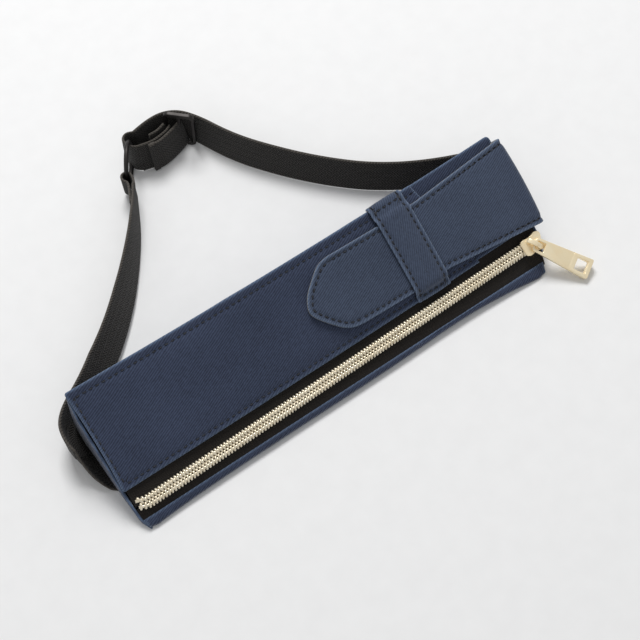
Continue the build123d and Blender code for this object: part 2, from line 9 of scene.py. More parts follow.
import bpy
import numpy as np
from mathutils import Vector
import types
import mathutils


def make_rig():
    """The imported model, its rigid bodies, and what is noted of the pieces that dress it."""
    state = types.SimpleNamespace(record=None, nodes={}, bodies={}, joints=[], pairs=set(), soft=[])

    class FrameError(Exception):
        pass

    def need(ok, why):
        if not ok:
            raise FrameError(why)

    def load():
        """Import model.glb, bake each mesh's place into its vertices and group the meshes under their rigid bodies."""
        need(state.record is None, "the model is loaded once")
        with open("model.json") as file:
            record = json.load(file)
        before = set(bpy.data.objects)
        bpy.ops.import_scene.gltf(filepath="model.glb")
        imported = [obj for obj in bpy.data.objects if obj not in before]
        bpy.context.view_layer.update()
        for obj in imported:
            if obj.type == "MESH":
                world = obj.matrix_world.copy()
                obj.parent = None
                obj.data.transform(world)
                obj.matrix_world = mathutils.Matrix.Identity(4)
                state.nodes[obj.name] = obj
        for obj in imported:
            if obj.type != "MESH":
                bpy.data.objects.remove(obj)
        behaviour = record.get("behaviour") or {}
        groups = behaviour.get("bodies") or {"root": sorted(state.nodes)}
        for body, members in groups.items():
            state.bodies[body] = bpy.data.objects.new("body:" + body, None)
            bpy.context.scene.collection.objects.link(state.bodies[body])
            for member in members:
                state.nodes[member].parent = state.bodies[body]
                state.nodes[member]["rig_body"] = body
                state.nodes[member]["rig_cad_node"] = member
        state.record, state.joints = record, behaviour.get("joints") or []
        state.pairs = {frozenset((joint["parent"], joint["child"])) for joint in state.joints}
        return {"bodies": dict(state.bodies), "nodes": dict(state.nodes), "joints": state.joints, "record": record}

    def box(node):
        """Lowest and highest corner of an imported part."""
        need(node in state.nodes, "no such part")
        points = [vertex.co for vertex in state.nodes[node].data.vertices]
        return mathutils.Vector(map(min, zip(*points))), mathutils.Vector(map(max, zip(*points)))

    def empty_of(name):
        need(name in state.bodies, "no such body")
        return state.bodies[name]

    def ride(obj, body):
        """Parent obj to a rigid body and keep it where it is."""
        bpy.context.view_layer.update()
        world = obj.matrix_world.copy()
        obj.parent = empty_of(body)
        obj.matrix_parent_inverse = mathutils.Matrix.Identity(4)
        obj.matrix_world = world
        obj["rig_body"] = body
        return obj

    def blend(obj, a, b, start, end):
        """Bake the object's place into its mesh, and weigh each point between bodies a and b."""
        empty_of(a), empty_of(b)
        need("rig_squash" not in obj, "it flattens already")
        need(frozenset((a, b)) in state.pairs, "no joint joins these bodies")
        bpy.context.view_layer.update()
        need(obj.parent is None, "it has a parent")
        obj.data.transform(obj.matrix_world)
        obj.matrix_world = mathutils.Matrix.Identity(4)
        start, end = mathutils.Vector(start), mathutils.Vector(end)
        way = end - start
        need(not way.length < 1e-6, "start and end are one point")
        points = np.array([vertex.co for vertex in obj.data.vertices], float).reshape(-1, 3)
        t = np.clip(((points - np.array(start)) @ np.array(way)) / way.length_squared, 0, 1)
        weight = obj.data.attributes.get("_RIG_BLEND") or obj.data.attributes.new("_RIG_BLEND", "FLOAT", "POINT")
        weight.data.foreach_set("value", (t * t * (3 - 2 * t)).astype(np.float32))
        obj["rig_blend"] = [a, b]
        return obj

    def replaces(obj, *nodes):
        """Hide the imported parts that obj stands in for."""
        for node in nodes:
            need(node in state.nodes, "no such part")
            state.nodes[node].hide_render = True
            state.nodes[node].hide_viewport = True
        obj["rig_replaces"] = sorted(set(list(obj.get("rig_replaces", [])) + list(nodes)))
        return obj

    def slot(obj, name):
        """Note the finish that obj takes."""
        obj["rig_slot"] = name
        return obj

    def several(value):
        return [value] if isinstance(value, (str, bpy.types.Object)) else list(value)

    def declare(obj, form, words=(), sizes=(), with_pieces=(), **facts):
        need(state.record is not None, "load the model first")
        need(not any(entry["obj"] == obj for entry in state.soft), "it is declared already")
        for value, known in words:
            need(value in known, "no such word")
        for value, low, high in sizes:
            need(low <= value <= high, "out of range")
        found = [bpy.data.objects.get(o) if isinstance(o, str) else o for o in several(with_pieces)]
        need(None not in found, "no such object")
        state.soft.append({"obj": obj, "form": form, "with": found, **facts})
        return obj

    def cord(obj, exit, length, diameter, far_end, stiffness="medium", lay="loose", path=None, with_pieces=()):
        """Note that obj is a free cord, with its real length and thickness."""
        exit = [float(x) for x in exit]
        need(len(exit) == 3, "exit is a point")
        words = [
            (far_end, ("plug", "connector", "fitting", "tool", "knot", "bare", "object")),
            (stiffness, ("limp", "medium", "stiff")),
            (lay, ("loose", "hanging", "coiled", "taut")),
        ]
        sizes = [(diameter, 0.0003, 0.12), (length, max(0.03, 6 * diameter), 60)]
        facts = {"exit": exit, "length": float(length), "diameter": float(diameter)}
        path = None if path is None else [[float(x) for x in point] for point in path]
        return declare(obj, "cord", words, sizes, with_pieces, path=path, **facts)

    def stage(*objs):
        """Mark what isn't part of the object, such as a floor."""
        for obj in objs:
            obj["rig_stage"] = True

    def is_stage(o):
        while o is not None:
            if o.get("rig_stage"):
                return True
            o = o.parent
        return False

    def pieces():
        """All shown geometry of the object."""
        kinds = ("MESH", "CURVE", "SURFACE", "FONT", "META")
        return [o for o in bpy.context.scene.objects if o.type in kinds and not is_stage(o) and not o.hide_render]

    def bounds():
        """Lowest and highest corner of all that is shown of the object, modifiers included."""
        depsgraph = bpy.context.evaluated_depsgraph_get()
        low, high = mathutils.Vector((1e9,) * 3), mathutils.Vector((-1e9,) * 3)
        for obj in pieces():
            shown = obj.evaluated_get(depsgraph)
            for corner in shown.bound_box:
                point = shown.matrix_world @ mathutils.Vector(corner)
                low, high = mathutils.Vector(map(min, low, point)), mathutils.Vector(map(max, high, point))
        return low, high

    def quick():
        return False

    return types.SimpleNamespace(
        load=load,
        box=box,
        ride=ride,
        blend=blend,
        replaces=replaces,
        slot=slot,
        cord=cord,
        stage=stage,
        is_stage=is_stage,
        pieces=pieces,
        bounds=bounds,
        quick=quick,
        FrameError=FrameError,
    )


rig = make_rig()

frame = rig.load()
CAD_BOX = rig.bounds()
MM = 0.001
JOINTS = {j["name"]: j for j in frame["joints"]}
STEP = 1.6 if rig.quick() else 0.8        # grid step of the sewn cloth

# ---- the sloping top, placed by the flap's hinge ----
X_DIR = np.array((1.0, 0.0, 0.0))
S_DIR = np.array(JOINTS["flap_lift"]["axis"])
N_DIR = np.cross(X_DIR, S_DIR)
HINGE = (99.0, 38.0, 3.7)                # the flap hinge's place on the slope
SLOPE_ZERO = np.array(JOINTS["flap_lift"]["pos_m"]) / MM
SLOPE_ZERO = SLOPE_ZERO - HINGE[0] * X_DIR - HINGE[1] * S_DIR - HINGE[2] * N_DIR
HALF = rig.box("bottom_panel")[1].x / MM
BACK_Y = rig.box("back_panel")[1].y / MM
FRONT_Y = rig.box("bottom_panel")[0].y / MM
ZIP_DIR = np.array(JOINTS["zip_slide"]["axis"])
ZIP_SIDE = np.cross(N_DIR, ZIP_DIR)
ZIP_TURN = float(np.dot(ZIP_DIR, S_DIR) / np.dot(ZIP_DIR, X_DIR))
ZIP_MID = 11.95                          # slope position of the zip's centre line at x = 0
FAR = 60.4                               # slope position of the sleeve's far edge
NEAR_L, NEAR_R = 17.8, 19.2              # slope position of the sleeve's near edge at both ends


def stack(*columns):
    """Points, from their coordinates."""
    return np.stack(np.broadcast_arrays(*columns), axis=-1)


def place(x, s, n):
    """Points on the slope, as an array of x, y, z."""
    return SLOPE_ZERO + stack(x, s, n) @ np.array((X_DIR, S_DIR, N_DIR))


def smooth(t):
    t = np.clip(t, 0.0, 1.0)
    return t * t * (3 - 2 * t)


def unit(vectors):
    """Vectors brought to length 1."""
    return vectors / np.linalg.norm(vectors, axis=-1, keepdims=True)


def zip_line(x):
    return ZIP_MID + np.asarray(x) * ZIP_TURN


def belly(x):
    """How far along the case's length a place is from its ends: 1 in the middle, 0 at both ends."""
    return 1 - np.clip(np.asarray(x) / HALF, -1, 1) ** 2


def ripple(a, b, size=1.0):
    """A slow, uneven wave in millimetres, for cloth that isn't perfectly flat."""
    wave = np.sin(a / 9.1 + 1.3) * np.sin(b / 7.3 + 0.4) + 0.6 * np.sin(a / 23.0 + b / 14.0 + 2.1)
    return size * (wave + 0.4 * np.sin(a / 4.7 - b / 5.9))


# ---- materials ----
class Nodes:
    """Short calls for building a material's node tree."""

    def __init__(self, name):
        self.material = bpy.data.materials.new(name)
        self.material.use_nodes = True
        self.tree = self.material.node_tree
        self.shader = self.tree.nodes["Principled BSDF"]

    def put(self, kind, **values):
        node = self.tree.nodes.new(kind)
        for key, value in values.items():
            setattr(node, key, value)
        return node

    def join(self, value, socket):
        if isinstance(value, bpy.types.NodeSocket):
            self.tree.links.new(value, socket)
        else:
            socket.default_value = value

    def math(self, operation, a, b=0.0, c=0.0):
        node = self.put("ShaderNodeMath", operation=operation)
        for socket, value in zip(node.inputs, (a, b, c)):
            self.join(value, socket)
        return node.outputs[0]

    def mul(self, a, b):
        return self.math("MULTIPLY", a, b)

    def madd(self, a, b, c):
        """a * b + c"""
        return self.math("MULTIPLY_ADD", a, b, c)

    def attribute(self, name):
        """The x and y of a point attribute."""
        node = self.put("ShaderNodeAttribute", attribute_name=name)
        split = self.put("ShaderNodeSeparateXYZ")
        self.tree.links.new(node.outputs["Vector"], split.inputs[0])
        return split.outputs[0], split.outputs[1]

    def wave(self, value, pitch, shift=0.0):
        """A wave from 0 to 1 along value, repeating every pitch."""
        turn = self.madd(value, 2 * math.pi / pitch, shift)
        return self.madd(self.math("SINE", turn), 0.5, 0.5)

    def noise(self, scale, detail=3.0, vector=None):
        node = self.put("ShaderNodeTexNoise")
        node.inputs["Scale"].default_value = scale
        node.inputs["Detail"].default_value = detail
        if vector is None:
            vector = self.put("ShaderNodeTexCoord").outputs["Object"]
        self.tree.links.new(vector, node.inputs["Vector"])
        return node.outputs["Fac"]

    def ramp(self, value, stops):
        """A colour ramp of (place, colour) stops."""
        node = self.put("ShaderNodeValToRGB")
        while len(node.color_ramp.elements) < len(stops):
            node.color_ramp.elements.new(0.5)
        for element, (spot, colour) in zip(node.color_ramp.elements, stops):
            element.position = spot
            element.color = (*colour, 1.0)
        self.join(value, node.inputs[0])
        return node.outputs[0]

    def fade(self, value, start=0.0):
        """1 up to start, then falling to 0 at 1."""
        return self.ramp(value, [(start, (1, 1, 1)), (1.0, (0, 0, 0))])

    def mix(self, share, a, b):
        node = self.put("ShaderNodeMix", data_type="RGBA")
        self.join(share, node.inputs["Factor"])
        for socket, value in zip((node.inputs[6], node.inputs[7]), (a, b)):
            self.join(value if isinstance(value, bpy.types.NodeSocket) else (*value, 1.0), socket)
        return node.outputs[2]

    def bump(self, height, distance, strength=1.0):
        node = self.put("ShaderNodeBump")
        node.inputs["Strength"].default_value = strength
        node.inputs["Distance"].default_value = distance
        self.join(height, node.inputs["Height"])
        self.tree.links.new(node.outputs[0], self.shader.inputs["Normal"])

    def finish(self, colour, roughness, **fixed):
        self.join(colour, self.shader.inputs["Base Color"])
        self.join(roughness, self.shader.inputs["Roughness"])
        for key, value in fixed.items():
            self.shader.inputs[key.replace("_", " ")].default_value = value
        return self.material


STITCH_PITCH = 2.7
STITCH_START = 1.85       # middle of a seam's first stitch
# STITCH_SHADE is painted shade: the shadow of the sunk thread and its holes, painted on the cloth at each stitch.
STITCH_SHADE = (0.0025, 0.003, 0.006)


def twill(name, dark, light, edge, turn, pitch=0.88):
    """Cotton twill: diagonal wales turned from the cloth's x, with painted shade in the valleys between wales, paler
    folded rims that are partly wear and partly painted highlight, and painted shade at the stitches.
    """
    m = Nodes(name)
    a, b = m.attribute("cloth")
    c, s = math.cos(math.radians(turn)), math.sin(math.radians(turn))
    across = m.madd(b, c, m.mul(a, -s))
    along = m.madd(b, s, m.mul(a, c))
    fuzz = m.noise(900.0, 4.0)
    drift = m.madd(m.noise(260.0, 2.0), 0.5, across)
    wale = m.wave(drift, pitch)
    pick = m.wave(m.madd(across, 0.5, along), 0.46)
    yarn = m.mul(wale, m.madd(pick, 0.35, 0.65))
    height = m.madd(fuzz, 0.35, yarn)
    cloud = m.noise(38.0, 3.0)
    # The tone follows the weave's height, darker in the valleys between wales: painted shade.
    tone = m.madd(cloud, 0.3, m.madd(yarn, 0.4, m.mul(fuzz, 0.5)))
    colour = m.ramp(tone, [(0.12, dark), (0.98, light)])
    # Paler within 1.1 mm of the rims: partly wear on the folded edges, partly painted highlight where the folds catch
    # the light.
    rim = m.attribute("rim")[0]
    wear_and_highlight = m.mul(m.fade(rim), m.madd(fuzz, 0.9, 0.25))
    colour = m.mix(m.mul(wear_and_highlight, m.madd(yarn, 0.6, 0.5)), colour, edge)
    # A dark dash painted on the cloth at each stitch: painted shadow of the sunk thread and its holes.
    gap, reach = m.attribute("seam")
    turns = m.math("DIVIDE", m.math("SUBTRACT", reach, STITCH_START), STITCH_PITCH)
    off = m.mul(m.math("PINGPONG", turns, 0.5), STITCH_PITCH)
    wide, long = (m.math("POWER", m.math("DIVIDE", v, size), power)
                  for v, size, power in ((gap, 0.46, 2.0), (off, 0.95, 4.0)))
    stitch_shadow = m.fade(m.math("ADD", wide, long), 0.6)
    stitch_shadow = m.mul(stitch_shadow, m.math("LESS_THAN", m.math("ABSOLUTE", gap), 1.2))
    colour = m.mix(stitch_shadow, colour, STITCH_SHADE)
    m.bump(m.madd(stitch_shadow, -1.2, height), 0.00018, 0.75)
    rough = m.madd(fuzz, 0.12, 0.82)
    return m.finish(colour, rough, Sheen_Weight=0.22, Sheen_Roughness=0.45, Specular_IOR_Level=0.25)


def elastic(name):
    """Woven elastic: rows of slanting ribs that turn about like herringbone, black, with painted shade in the gaps
    between ribs and paler rims that are partly wear and partly painted highlight.
    """
    m = Nodes(name)
    a, b = m.attribute("cloth")
    slant = m.math("ADD", a, m.mul(m.math("PINGPONG", b, 1.5), 1.2))
    rib = m.wave(slant, 1.25)
    pick = m.wave(b, 0.75)
    fuzz = m.noise(1100.0, 4.0)
    height = m.mul(rib, m.madd(pick, 0.6, 0.4))
    # The colour follows the ribs' height, darker in the gaps between them: painted shade.
    tone = m.madd(fuzz, 0.35, m.mul(height, 0.75))
    colour = m.ramp(tone, [(0.2, (0.0028, 0.0027, 0.0027)), (0.95, (0.064, 0.058, 0.051))])
    # Paler within 1 mm of both edges of the band: partly wear, partly painted highlight where the edges catch the
    # light.
    rim = m.attribute("rim")[0]
    colour = m.mix(m.mul(m.fade(rim), m.madd(fuzz, 0.8, 0.3)), colour, (0.105, 0.093, 0.080))
    m.bump(height, 0.0003, 0.9)
    return m.finish(colour, m.madd(fuzz, 0.15, 0.72), Sheen_Weight=0.1, Specular_IOR_Level=0.3)


def tape(name):
    """Zip tape: fine herringbone ribs along its length, black-brown."""
    m = Nodes(name)
    a, b = m.attribute("cloth")
    fuzz = m.noise(1000.0, 3.0)
    fold = m.math("PINGPONG", b, 1.6)
    rib = m.wave(m.madd(fold, 1.3, a), 0.85)
    line = m.wave(b, 0.55)
    height = m.mul(rib, m.madd(line, 0.5, 0.5))
    tone = m.madd(fuzz, 0.4, m.mul(height, 0.6))
    colour = m.ramp(tone, [(0.15, (0.006, 0.0052, 0.0048)), (0.95, (0.036, 0.030, 0.025))])
    m.bump(height, 0.0002, 0.8)
    return m.finish(colour, m.madd(fuzz, 0.15, 0.75), Specular_IOR_Level=0.25)


def thread(name, dark, light):
    """Twisted sewing thread."""
    m = Nodes(name)
    a, b = m.attribute("cloth")
    ply = m.wave(m.madd(b, 0.5, a), 0.5)
    fuzz = m.noise(1500.0, 2.0)
    colour = m.ramp(m.madd(fuzz, 0.4, m.mul(ply, 0.6)), [(0.1, dark), (0.9, light)])
    m.bump(ply, 0.00008, 0.7)
    return m.finish(colour, m.madd(fuzz, 0.2, 0.5), Sheen_Weight=0.2)


def metal(name, dark, light, low, high, scuff=0.35, solid=1.0):
    """Plated metal: faint cloudy tone and fine scratches in its colour and gloss."""
    m = Nodes(name)
    cloud = m.noise(160.0, 4.0)
    grain = m.noise(2600.0, 2.0)
    stretch = m.put("ShaderNodeMapping")
    stretch.inputs["Scale"].default_value = (900.0, 140.0, 140.0)
    m.tree.links.new(m.put("ShaderNodeTexCoord").outputs["Object"], stretch.inputs[0])
    scratch = m.noise(1.0, 2.0, stretch.outputs[0])
    colour = m.ramp(m.madd(scratch, scuff, m.mul(cloud, 0.7)), [(0.2, dark), (0.8, light)])
    gloss = m.madd(m.madd(scratch, 0.6, grain), (high - low) / 1.6, low)
    m.bump(m.madd(scratch, 0.5, grain), 0.00001, 0.35)
    return m.finish(colour, gloss, Metallic=solid)


def board(name):
    """Greyboard stiffener: flecked fibres."""
    m = Nodes(name)
    fleck = m.noise(700.0, 5.0)
    colour = m.ramp(fleck, [(0.3, (0.30, 0.26, 0.20)), (0.7, (0.50, 0.45, 0.37))])
    m.bump(fleck, 0.0001, 0.6)
    return m.finish(colour, m.madd(fleck, 0.1, 0.8))


# NAVY_EDGE is the paler rim colour: partly wear, partly painted highlight on folded edges.
NAVY_DARK, NAVY, NAVY_EDGE = (0.006, 0.0085, 0.020), (0.062, 0.083, 0.146), (0.13, 0.19, 0.30)
TWILL = twill("navy_twill_cloth", NAVY_DARK, NAVY, NAVY_EDGE, 25.0)
# A lighter copy of the same navy twill for the flap and keeper loop: painted light, standing in for the stronger light
# that falls on them.
PAINTED_LIGHTER_TWILL = twill("navy_twill_flap", (0.014, 0.019, 0.036), (0.080, 0.107, 0.170), (0.16, 0.22, 0.33), 25.0)
LINING = twill("navy_lining_cloth", (0.05, 0.055, 0.07), (0.16, 0.165, 0.18), (0.30, 0.29, 0.27), 90.0, 0.6)
ELASTIC = elastic("black_elastic_weave")
TAPE = tape("black_zip_tape")
THREAD = thread("navy_thread", (0.003, 0.004, 0.009), (0.012, 0.017, 0.032))
COIL = metal("gilt_coil_plate", (0.72, 0.62, 0.44), (0.95, 0.88, 0.72), 0.24, 0.40, solid=0.55)
GOLD = metal("pale_gold_plate", (1.0, 0.80, 0.49), (1.0, 0.90, 0.66), 0.16, 0.30, solid=0.3)
GUNMETAL = metal("black_nickel_plate", (0.026, 0.024, 0.024), (0.062, 0.058, 0.056), 0.42, 0.55)
BOARD = board("grey_board")


# ---- mesh building ----
def link(obj):
    bpy.context.scene.collection.objects.link(obj)
    return obj


def mesh(name, points, faces, material, body, slot, replaces=(), cloth=None, rim=None, sharp=(), seam=None):
    """A smooth-shaded piece from points in millimetres, riding on a CAD body unless body is None."""
    data = bpy.data.meshes.new(name)
    data.from_pydata((np.asarray(points, float) * MM).tolist(), [], faces)
    data.update()
    for label, values in (("cloth", cloth), ("rim", rim), ("seam", seam)):
        if values is not None:
            vectors = np.zeros((len(points), 3), np.float32)
            vectors[:, :2] = values
            data.attributes.new(label, "FLOAT_VECTOR", "POINT").data.foreach_set("vector", vectors.ravel())
    data.polygons.foreach_set("use_smooth", [True] * len(data.polygons))
    if sharp:
        flags = [tuple(sorted(e.vertices)) in sharp for e in data.edges]
        data.attributes.new("sharp_edge", "BOOLEAN", "EDGE").data.foreach_set("value", flags)
    obj = link(bpy.data.objects.new(name, data))
    data.materials.append(material)
    if body:
        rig.ride(obj, body)
    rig.slot(obj, slot)
    if replaces:
        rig.replaces(obj, *replaces)
    return obj


def wrap(rows, cols, first=0, turned=False):
    """Faces of a closed tube of rows of cols points, with a cap at both ends."""
    at = lambda i, k: first + i * cols + k % cols
    faces = [(at(i, k), at(i, k + 1), at(i + 1, k + 1), at(i + 1, k))
             for i in range(rows - 1) for k in range(cols)]
    faces += [tuple(at(0, k) for k in reversed(range(cols))), tuple(at(rows - 1, k) for k in range(cols))]
    return [tuple(reversed(f)) for f in faces] if turned else faces


def outline_mesh(data):
    """The points and faces that a curve evaluates to."""
    obj = link(bpy.data.objects.new(data.name, data))
    bpy.context.view_layer.update()
    flat = bpy.data.meshes.new_from_object(obj)
    points, faces = np.array([v.co[:] for v in flat.vertices]), [tuple(p.vertices) for p in flat.polygons]
    bpy.data.objects.remove(obj)
    bpy.data.meshes.remove(flat)
    return points, faces


RIM = np.array((0.0, 0.07, 0.2, 0.42, 0.75, 1.2))     # steps of the grid over a rounded rim


def spread(length, step=STEP):
    """Shares from 0 to 1 along a length, closer together at both ends, where rims are rounded."""
    count = max(2, int(round((length - 2 * RIM[-1]) / step)))
    inner = np.linspace(RIM[-1], length - RIM[-1], count + 1)
    return np.concatenate([RIM[:-1], inner, length - RIM[:-1][::-1]]) / length


def travel(line):
    """Length along a line of points, from its start."""
    steps = np.linalg.norm(np.diff(line, axis=0), axis=1)
    return np.concatenate([[0.0], np.cumsum(steps)])


def along(line, shares):
    """Points at the given shares of a line's length."""
    line = np.asarray(line, float)
    reach = travel(line)
    return stack(*(np.interp(np.asarray(shares) * reach[-1], reach, column) for column in line.T))


def arc(start, middle, end, count):
    """Points on the circle's arc through three flat points."""
    a, b, c = (complex(*p) for p in (start, middle, end))
    w = (c - a) / (b - a)
    centre = a + (b - a) * (w - abs(w) ** 2) / (2j * w.imag)
    halfway, turn = (np.angle((p - centre) / (a - centre)) % (2 * np.pi) for p in (b, c))
    turn = turn if halfway < turn else turn - 2 * np.pi
    return [(p.real, p.imag) for p in centre + (a - centre) * np.exp(1j * turn * np.linspace(0, 1, count))]


def bezier(t, *points):
    """The places at shares t of a Bezier curve."""
    n = len(points) - 1
    return sum(math.comb(n, k) * (1 - t) ** (n - k) * t**k * p for k, p in enumerate(points))


def flowing(points, count):
    """A Catmull-Rom curve through the points."""
    p = np.asarray(points, float)
    p = np.vstack([2 * p[0] - p[1], p, 2 * p[-1] - p[-2]])
    spans = len(p) - 3
    t = np.linspace(0, spans, count)
    k = np.minimum(t.astype(int), spans - 1)
    u = (t - k)[:, None]
    a, b, c, d = (p[k + i] for i in range(4))
    return 0.5 * (2 * b + (c - a) * u + (2 * a - 5 * b + 4 * c - d) * u**2 + (3 * b - a - 3 * c + d) * u**3)


def quad(corners, radius, bows):
    """Four boundary lines of a four-cornered patch with rounded corners and bowed sides.

    Corners go round anticlockwise. Each line runs from the middle of one corner's round to the next one's."""
    corners = [np.array(c, float) for c in corners]
    radii = [radius] * 4 if np.isscalar(radius) else radius
    lines = []
    for i in range(4):
        a, b = corners[i], corners[(i + 1) % 4]
        way = unit(b - a)
        side = np.array((-way[1], way[0]))
        ends = []
        for corner, other, r in ((a, corners[i - 1], radii[i]),
                                 (b, corners[(i + 2) % 4], radii[(i + 1) % 4])):
            back = unit(other - corner)
            front = way if corner is a else -way
            t = np.linspace(0.5, 0, 7)[:, None]
            ends.append(bezier(t, corner + front * r, corner, corner + back * r))
        share = np.linspace(0, 1, 40)[1:-1, None]
        straight = ends[0][-1] + (ends[1][-1] - ends[0][-1]) * share
        straight = straight + side * bows[i] * 4 * share * (1 - share)
        lines.append(np.vstack([ends[0], straight, ends[1][::-1]]))
    return lines


def coons(near, right, far, left, step=STEP):
    """A grid of flat points inside four lines: near and far run left to right, the others near to far."""
    u = spread(max(travel(near)[-1], travel(far)[-1]), step)
    v = spread(max(travel(left)[-1], travel(right)[-1]), step)
    n, f, l, r = along(near, u), along(far, u), along(left, v), along(right, v)
    uu, vv = u[:, None, None], v[None, :, None]
    ruled = (1 - vv) * n[:, None] + vv * f[:, None] + (1 - uu) * l[None] + uu * r[None]
    corners = (1 - uu) * (1 - vv) * n[0] + uu * (1 - vv) * n[-1] + (1 - uu) * vv * f[0] + uu * vv * f[-1]
    return ruled - corners


def patch(corners, radius, bows=(0, 0, 0, 0), step=STEP):
    """A rounded four-cornered grid: corners near-left, near-right, far-right, far-left."""
    near, right, far, left = quad(corners, radius, bows)
    return coons(near, right, far[::-1], left[::-1], step)


def nearest(flat, line):
    """Distance of each flat point from a line of points, how far along it is, and which side it is on."""
    line = np.asarray(line, float)
    reach = travel(line)
    points = flat.reshape(-1, 2)
    best = np.full(len(points), 1e9)
    spot = np.zeros(len(points))
    side = np.ones(len(points))
    for k in range(len(line) - 1):
        a, way = line[k], line[k + 1] - line[k]
        t = np.clip(((points - a) @ way) / max(way @ way, 1e-12), 0, 1)
        gap = np.linalg.norm(points - a - t[:, None] * way, axis=1)
        closer = gap < best
        best[closer] = gap[closer]
        spot[closer] = (reach[k] + t * np.linalg.norm(way))[closer]
        cross = way[0] * (points - a)[:, 1] - way[1] * (points - a)[:, 0]
        side[closer] = np.where(cross < 0, -1.0, 1.0)[closer]
    return tuple(v.reshape(flat.shape[:-1]) for v in (best, spot, side))


def normals(grid):
    du, dv = np.gradient(grid, axis=0), np.gradient(grid, axis=1)
    n = np.cross(du, dv)
    return n / np.maximum(np.linalg.norm(n, axis=-1, keepdims=True), 1e-12)


PUCKER = 0.45             # how deep a seam pulls the cloth in
PUCKER_WIDE = 0.9
LAID = PUCKER * 0.4       # how far thread lies below the unpuckered cloth


def seam_pull(flat, seams):
    """Depth of the groove along the seams, with each point's distance from and reach along the nearest."""
    pull = np.zeros(flat.shape[:-1])
    near = np.full(flat.shape[:-1], 1e3)
    reach = np.zeros(flat.shape[:-1])
    for line in seams:
        gap, spot, side = nearest(flat, line)
        beat = 0.75 + 0.25 * np.cos(2 * np.pi * (spot - STITCH_START) / STITCH_PITCH)
        pull = np.maximum(pull, PUCKER * beat * np.exp(-((gap / PUCKER_WIDE) ** 2)))
        reach = np.where(gap < np.abs(near), spot, reach)
        near = np.where(gap < np.abs(near), gap * side, near)
    return pull, stack(np.clip(near, -50, 50), reach)


def shell(name, flat, spot, thick, replaces=(), seams=(), lift=None, cut=(), soft=0.6, weave=None,
          material=TWILL, body="case", slot="navy_twill"):
    """A closed piece of cloth with rounded rims, from a flat grid.

    spot(a, b, n) places a point that stands n over the cloth's middle. lift(a, b) is its swelling. Sides
    named in cut meet another piece, and stay at full thickness."""
    a, b = flat[..., 0], flat[..., 1]
    sides = {"left": flat[0], "right": flat[-1], "near": flat[:, 0], "far": flat[:, -1]}
    inner = np.full(a.shape, 1e9)
    for side, line in sides.items():
        if side not in cut:
            inner = np.minimum(inner, nearest(flat, line)[0])
    pull, seam = seam_pull(flat, seams)
    rise = (lift(a, b) if lift else 0.0) - pull
    t = np.clip(inner / soft, 0, 1)
    half = thick / 2 * np.sqrt(np.clip(1 - (1 - t) ** 2, 0, 1))
    middle = spot(a, b, rise)
    out = normals(middle)
    top, bottom = middle + out * half[..., None], middle - out * half[..., None]
    nu, nv = a.shape
    ids = np.arange(nu * nv).reshape(nu, nv)
    shared = inner < 1e-9
    low = np.full((nu, nv), -1)
    low[shared] = ids[shared]
    low[~shared] = nu * nv + np.arange((~shared).sum())
    points = np.vstack([top.reshape(-1, 3), bottom[~shared]])
    faces = []
    for i in range(nu - 1):
        for j in range(nv - 1):
            faces.append((ids[i, j], ids[i + 1, j], ids[i + 1, j + 1], ids[i, j + 1]))
            faces.append((low[i, j], low[i, j + 1], low[i + 1, j + 1], low[i + 1, j]))
    sharp = set()
    every = slice(None)
    ends = {"left": (0, every), "right": (-1, every), "near": (every, 0), "far": (every, -1)}
    for side in cut:
        upper, lower = ids[ends[side]], low[ends[side]]
        flip = side in ("left", "far")
        for k in range(len(upper) - 1):
            ring = [upper[k + 1], upper[k], lower[k], lower[k + 1]] if flip else [
                upper[k], upper[k + 1], lower[k + 1], lower[k]]
            faces.append(tuple(reversed(list(dict.fromkeys(ring)))))
            sharp.update(tuple(sorted((int(edge[k]), int(edge[k + 1])))) for edge in (upper, lower))
    faces = [tuple(int(v) for v in dict.fromkeys(f)) for f in faces]
    faces = [f for f in faces if len(f) > 2]
    grain = flat if weave is None else weave(a, b)
    both = lambda v: np.concatenate([v.reshape(nu * nv, -1), v[~shared].reshape((~shared).sum(), -1)])
    rim = stack(np.clip(inner / 1.1, 0, 1), inner)
    marks = both(grain), both(rim), sharp, both(seam)
    return mesh(name, points, faces, material, body, slot, replaces, *marks)


def inset(line, gap):
    """A line moved sideways to its left by gap."""
    line = np.asarray(line, float)
    way = unit(np.gradient(line, axis=0))
    return line + gap * stack(-way[:, 1], way[:, 0])


def tubes(lines, sides):
    """Points, faces and cloth marks of closed round tubes, each from its points, radii and up vectors."""
    points, faces, marks = [], [], []
    for line, radius, up in lines:
        line, radius, up = np.asarray(line), np.asarray(radius), np.asarray(up)
        way = unit(np.gradient(line, axis=0))
        side = unit(np.cross(way, up))
        up = np.cross(side, way)
        turn = np.linspace(0, 2 * np.pi, sides, endpoint=False)
        rings = line[:, None] + radius[:, None, None] * (
            np.cos(turn)[None, :, None] * side[:, None] + np.sin(turn)[None, :, None] * up[:, None])
        start = len(points)
        points.extend(rings.reshape(-1, 3))
        reach = travel(line)
        marks.extend((r, k / sides) for r in reach for k in range(sides))
        faces.extend(wrap(len(line), sides, start))
    return points, faces, marks


def stitches(line, length=1.7, radius=0.22, sink=0.08):
    """One short thread for each stitch along a line on the cloth, dipping into its holes at both ends."""
    line = np.asarray(line, float)
    reach = travel(line)
    out = []
    for middle in np.arange(STITCH_START, reach[-1] - STITCH_PITCH / 2, STITCH_PITCH):
        t = np.linspace(-0.5, 0.5, 7)
        path = along(line, (middle + t * length) / reach[-1])
        way = path[-1] - path[0]
        up = np.tile(N_DIR if abs(way @ N_DIR) < 0.9 * np.linalg.norm(way) else S_DIR, (7, 1))
        path = path + (radius * 0.6 - sink - 2.4 * t[:, None] ** 2 * radius * 3) * up
        fat = radius * (1 - 0.55 * (2 * t) ** 4)
        out.append((path, fat, up))
    return out


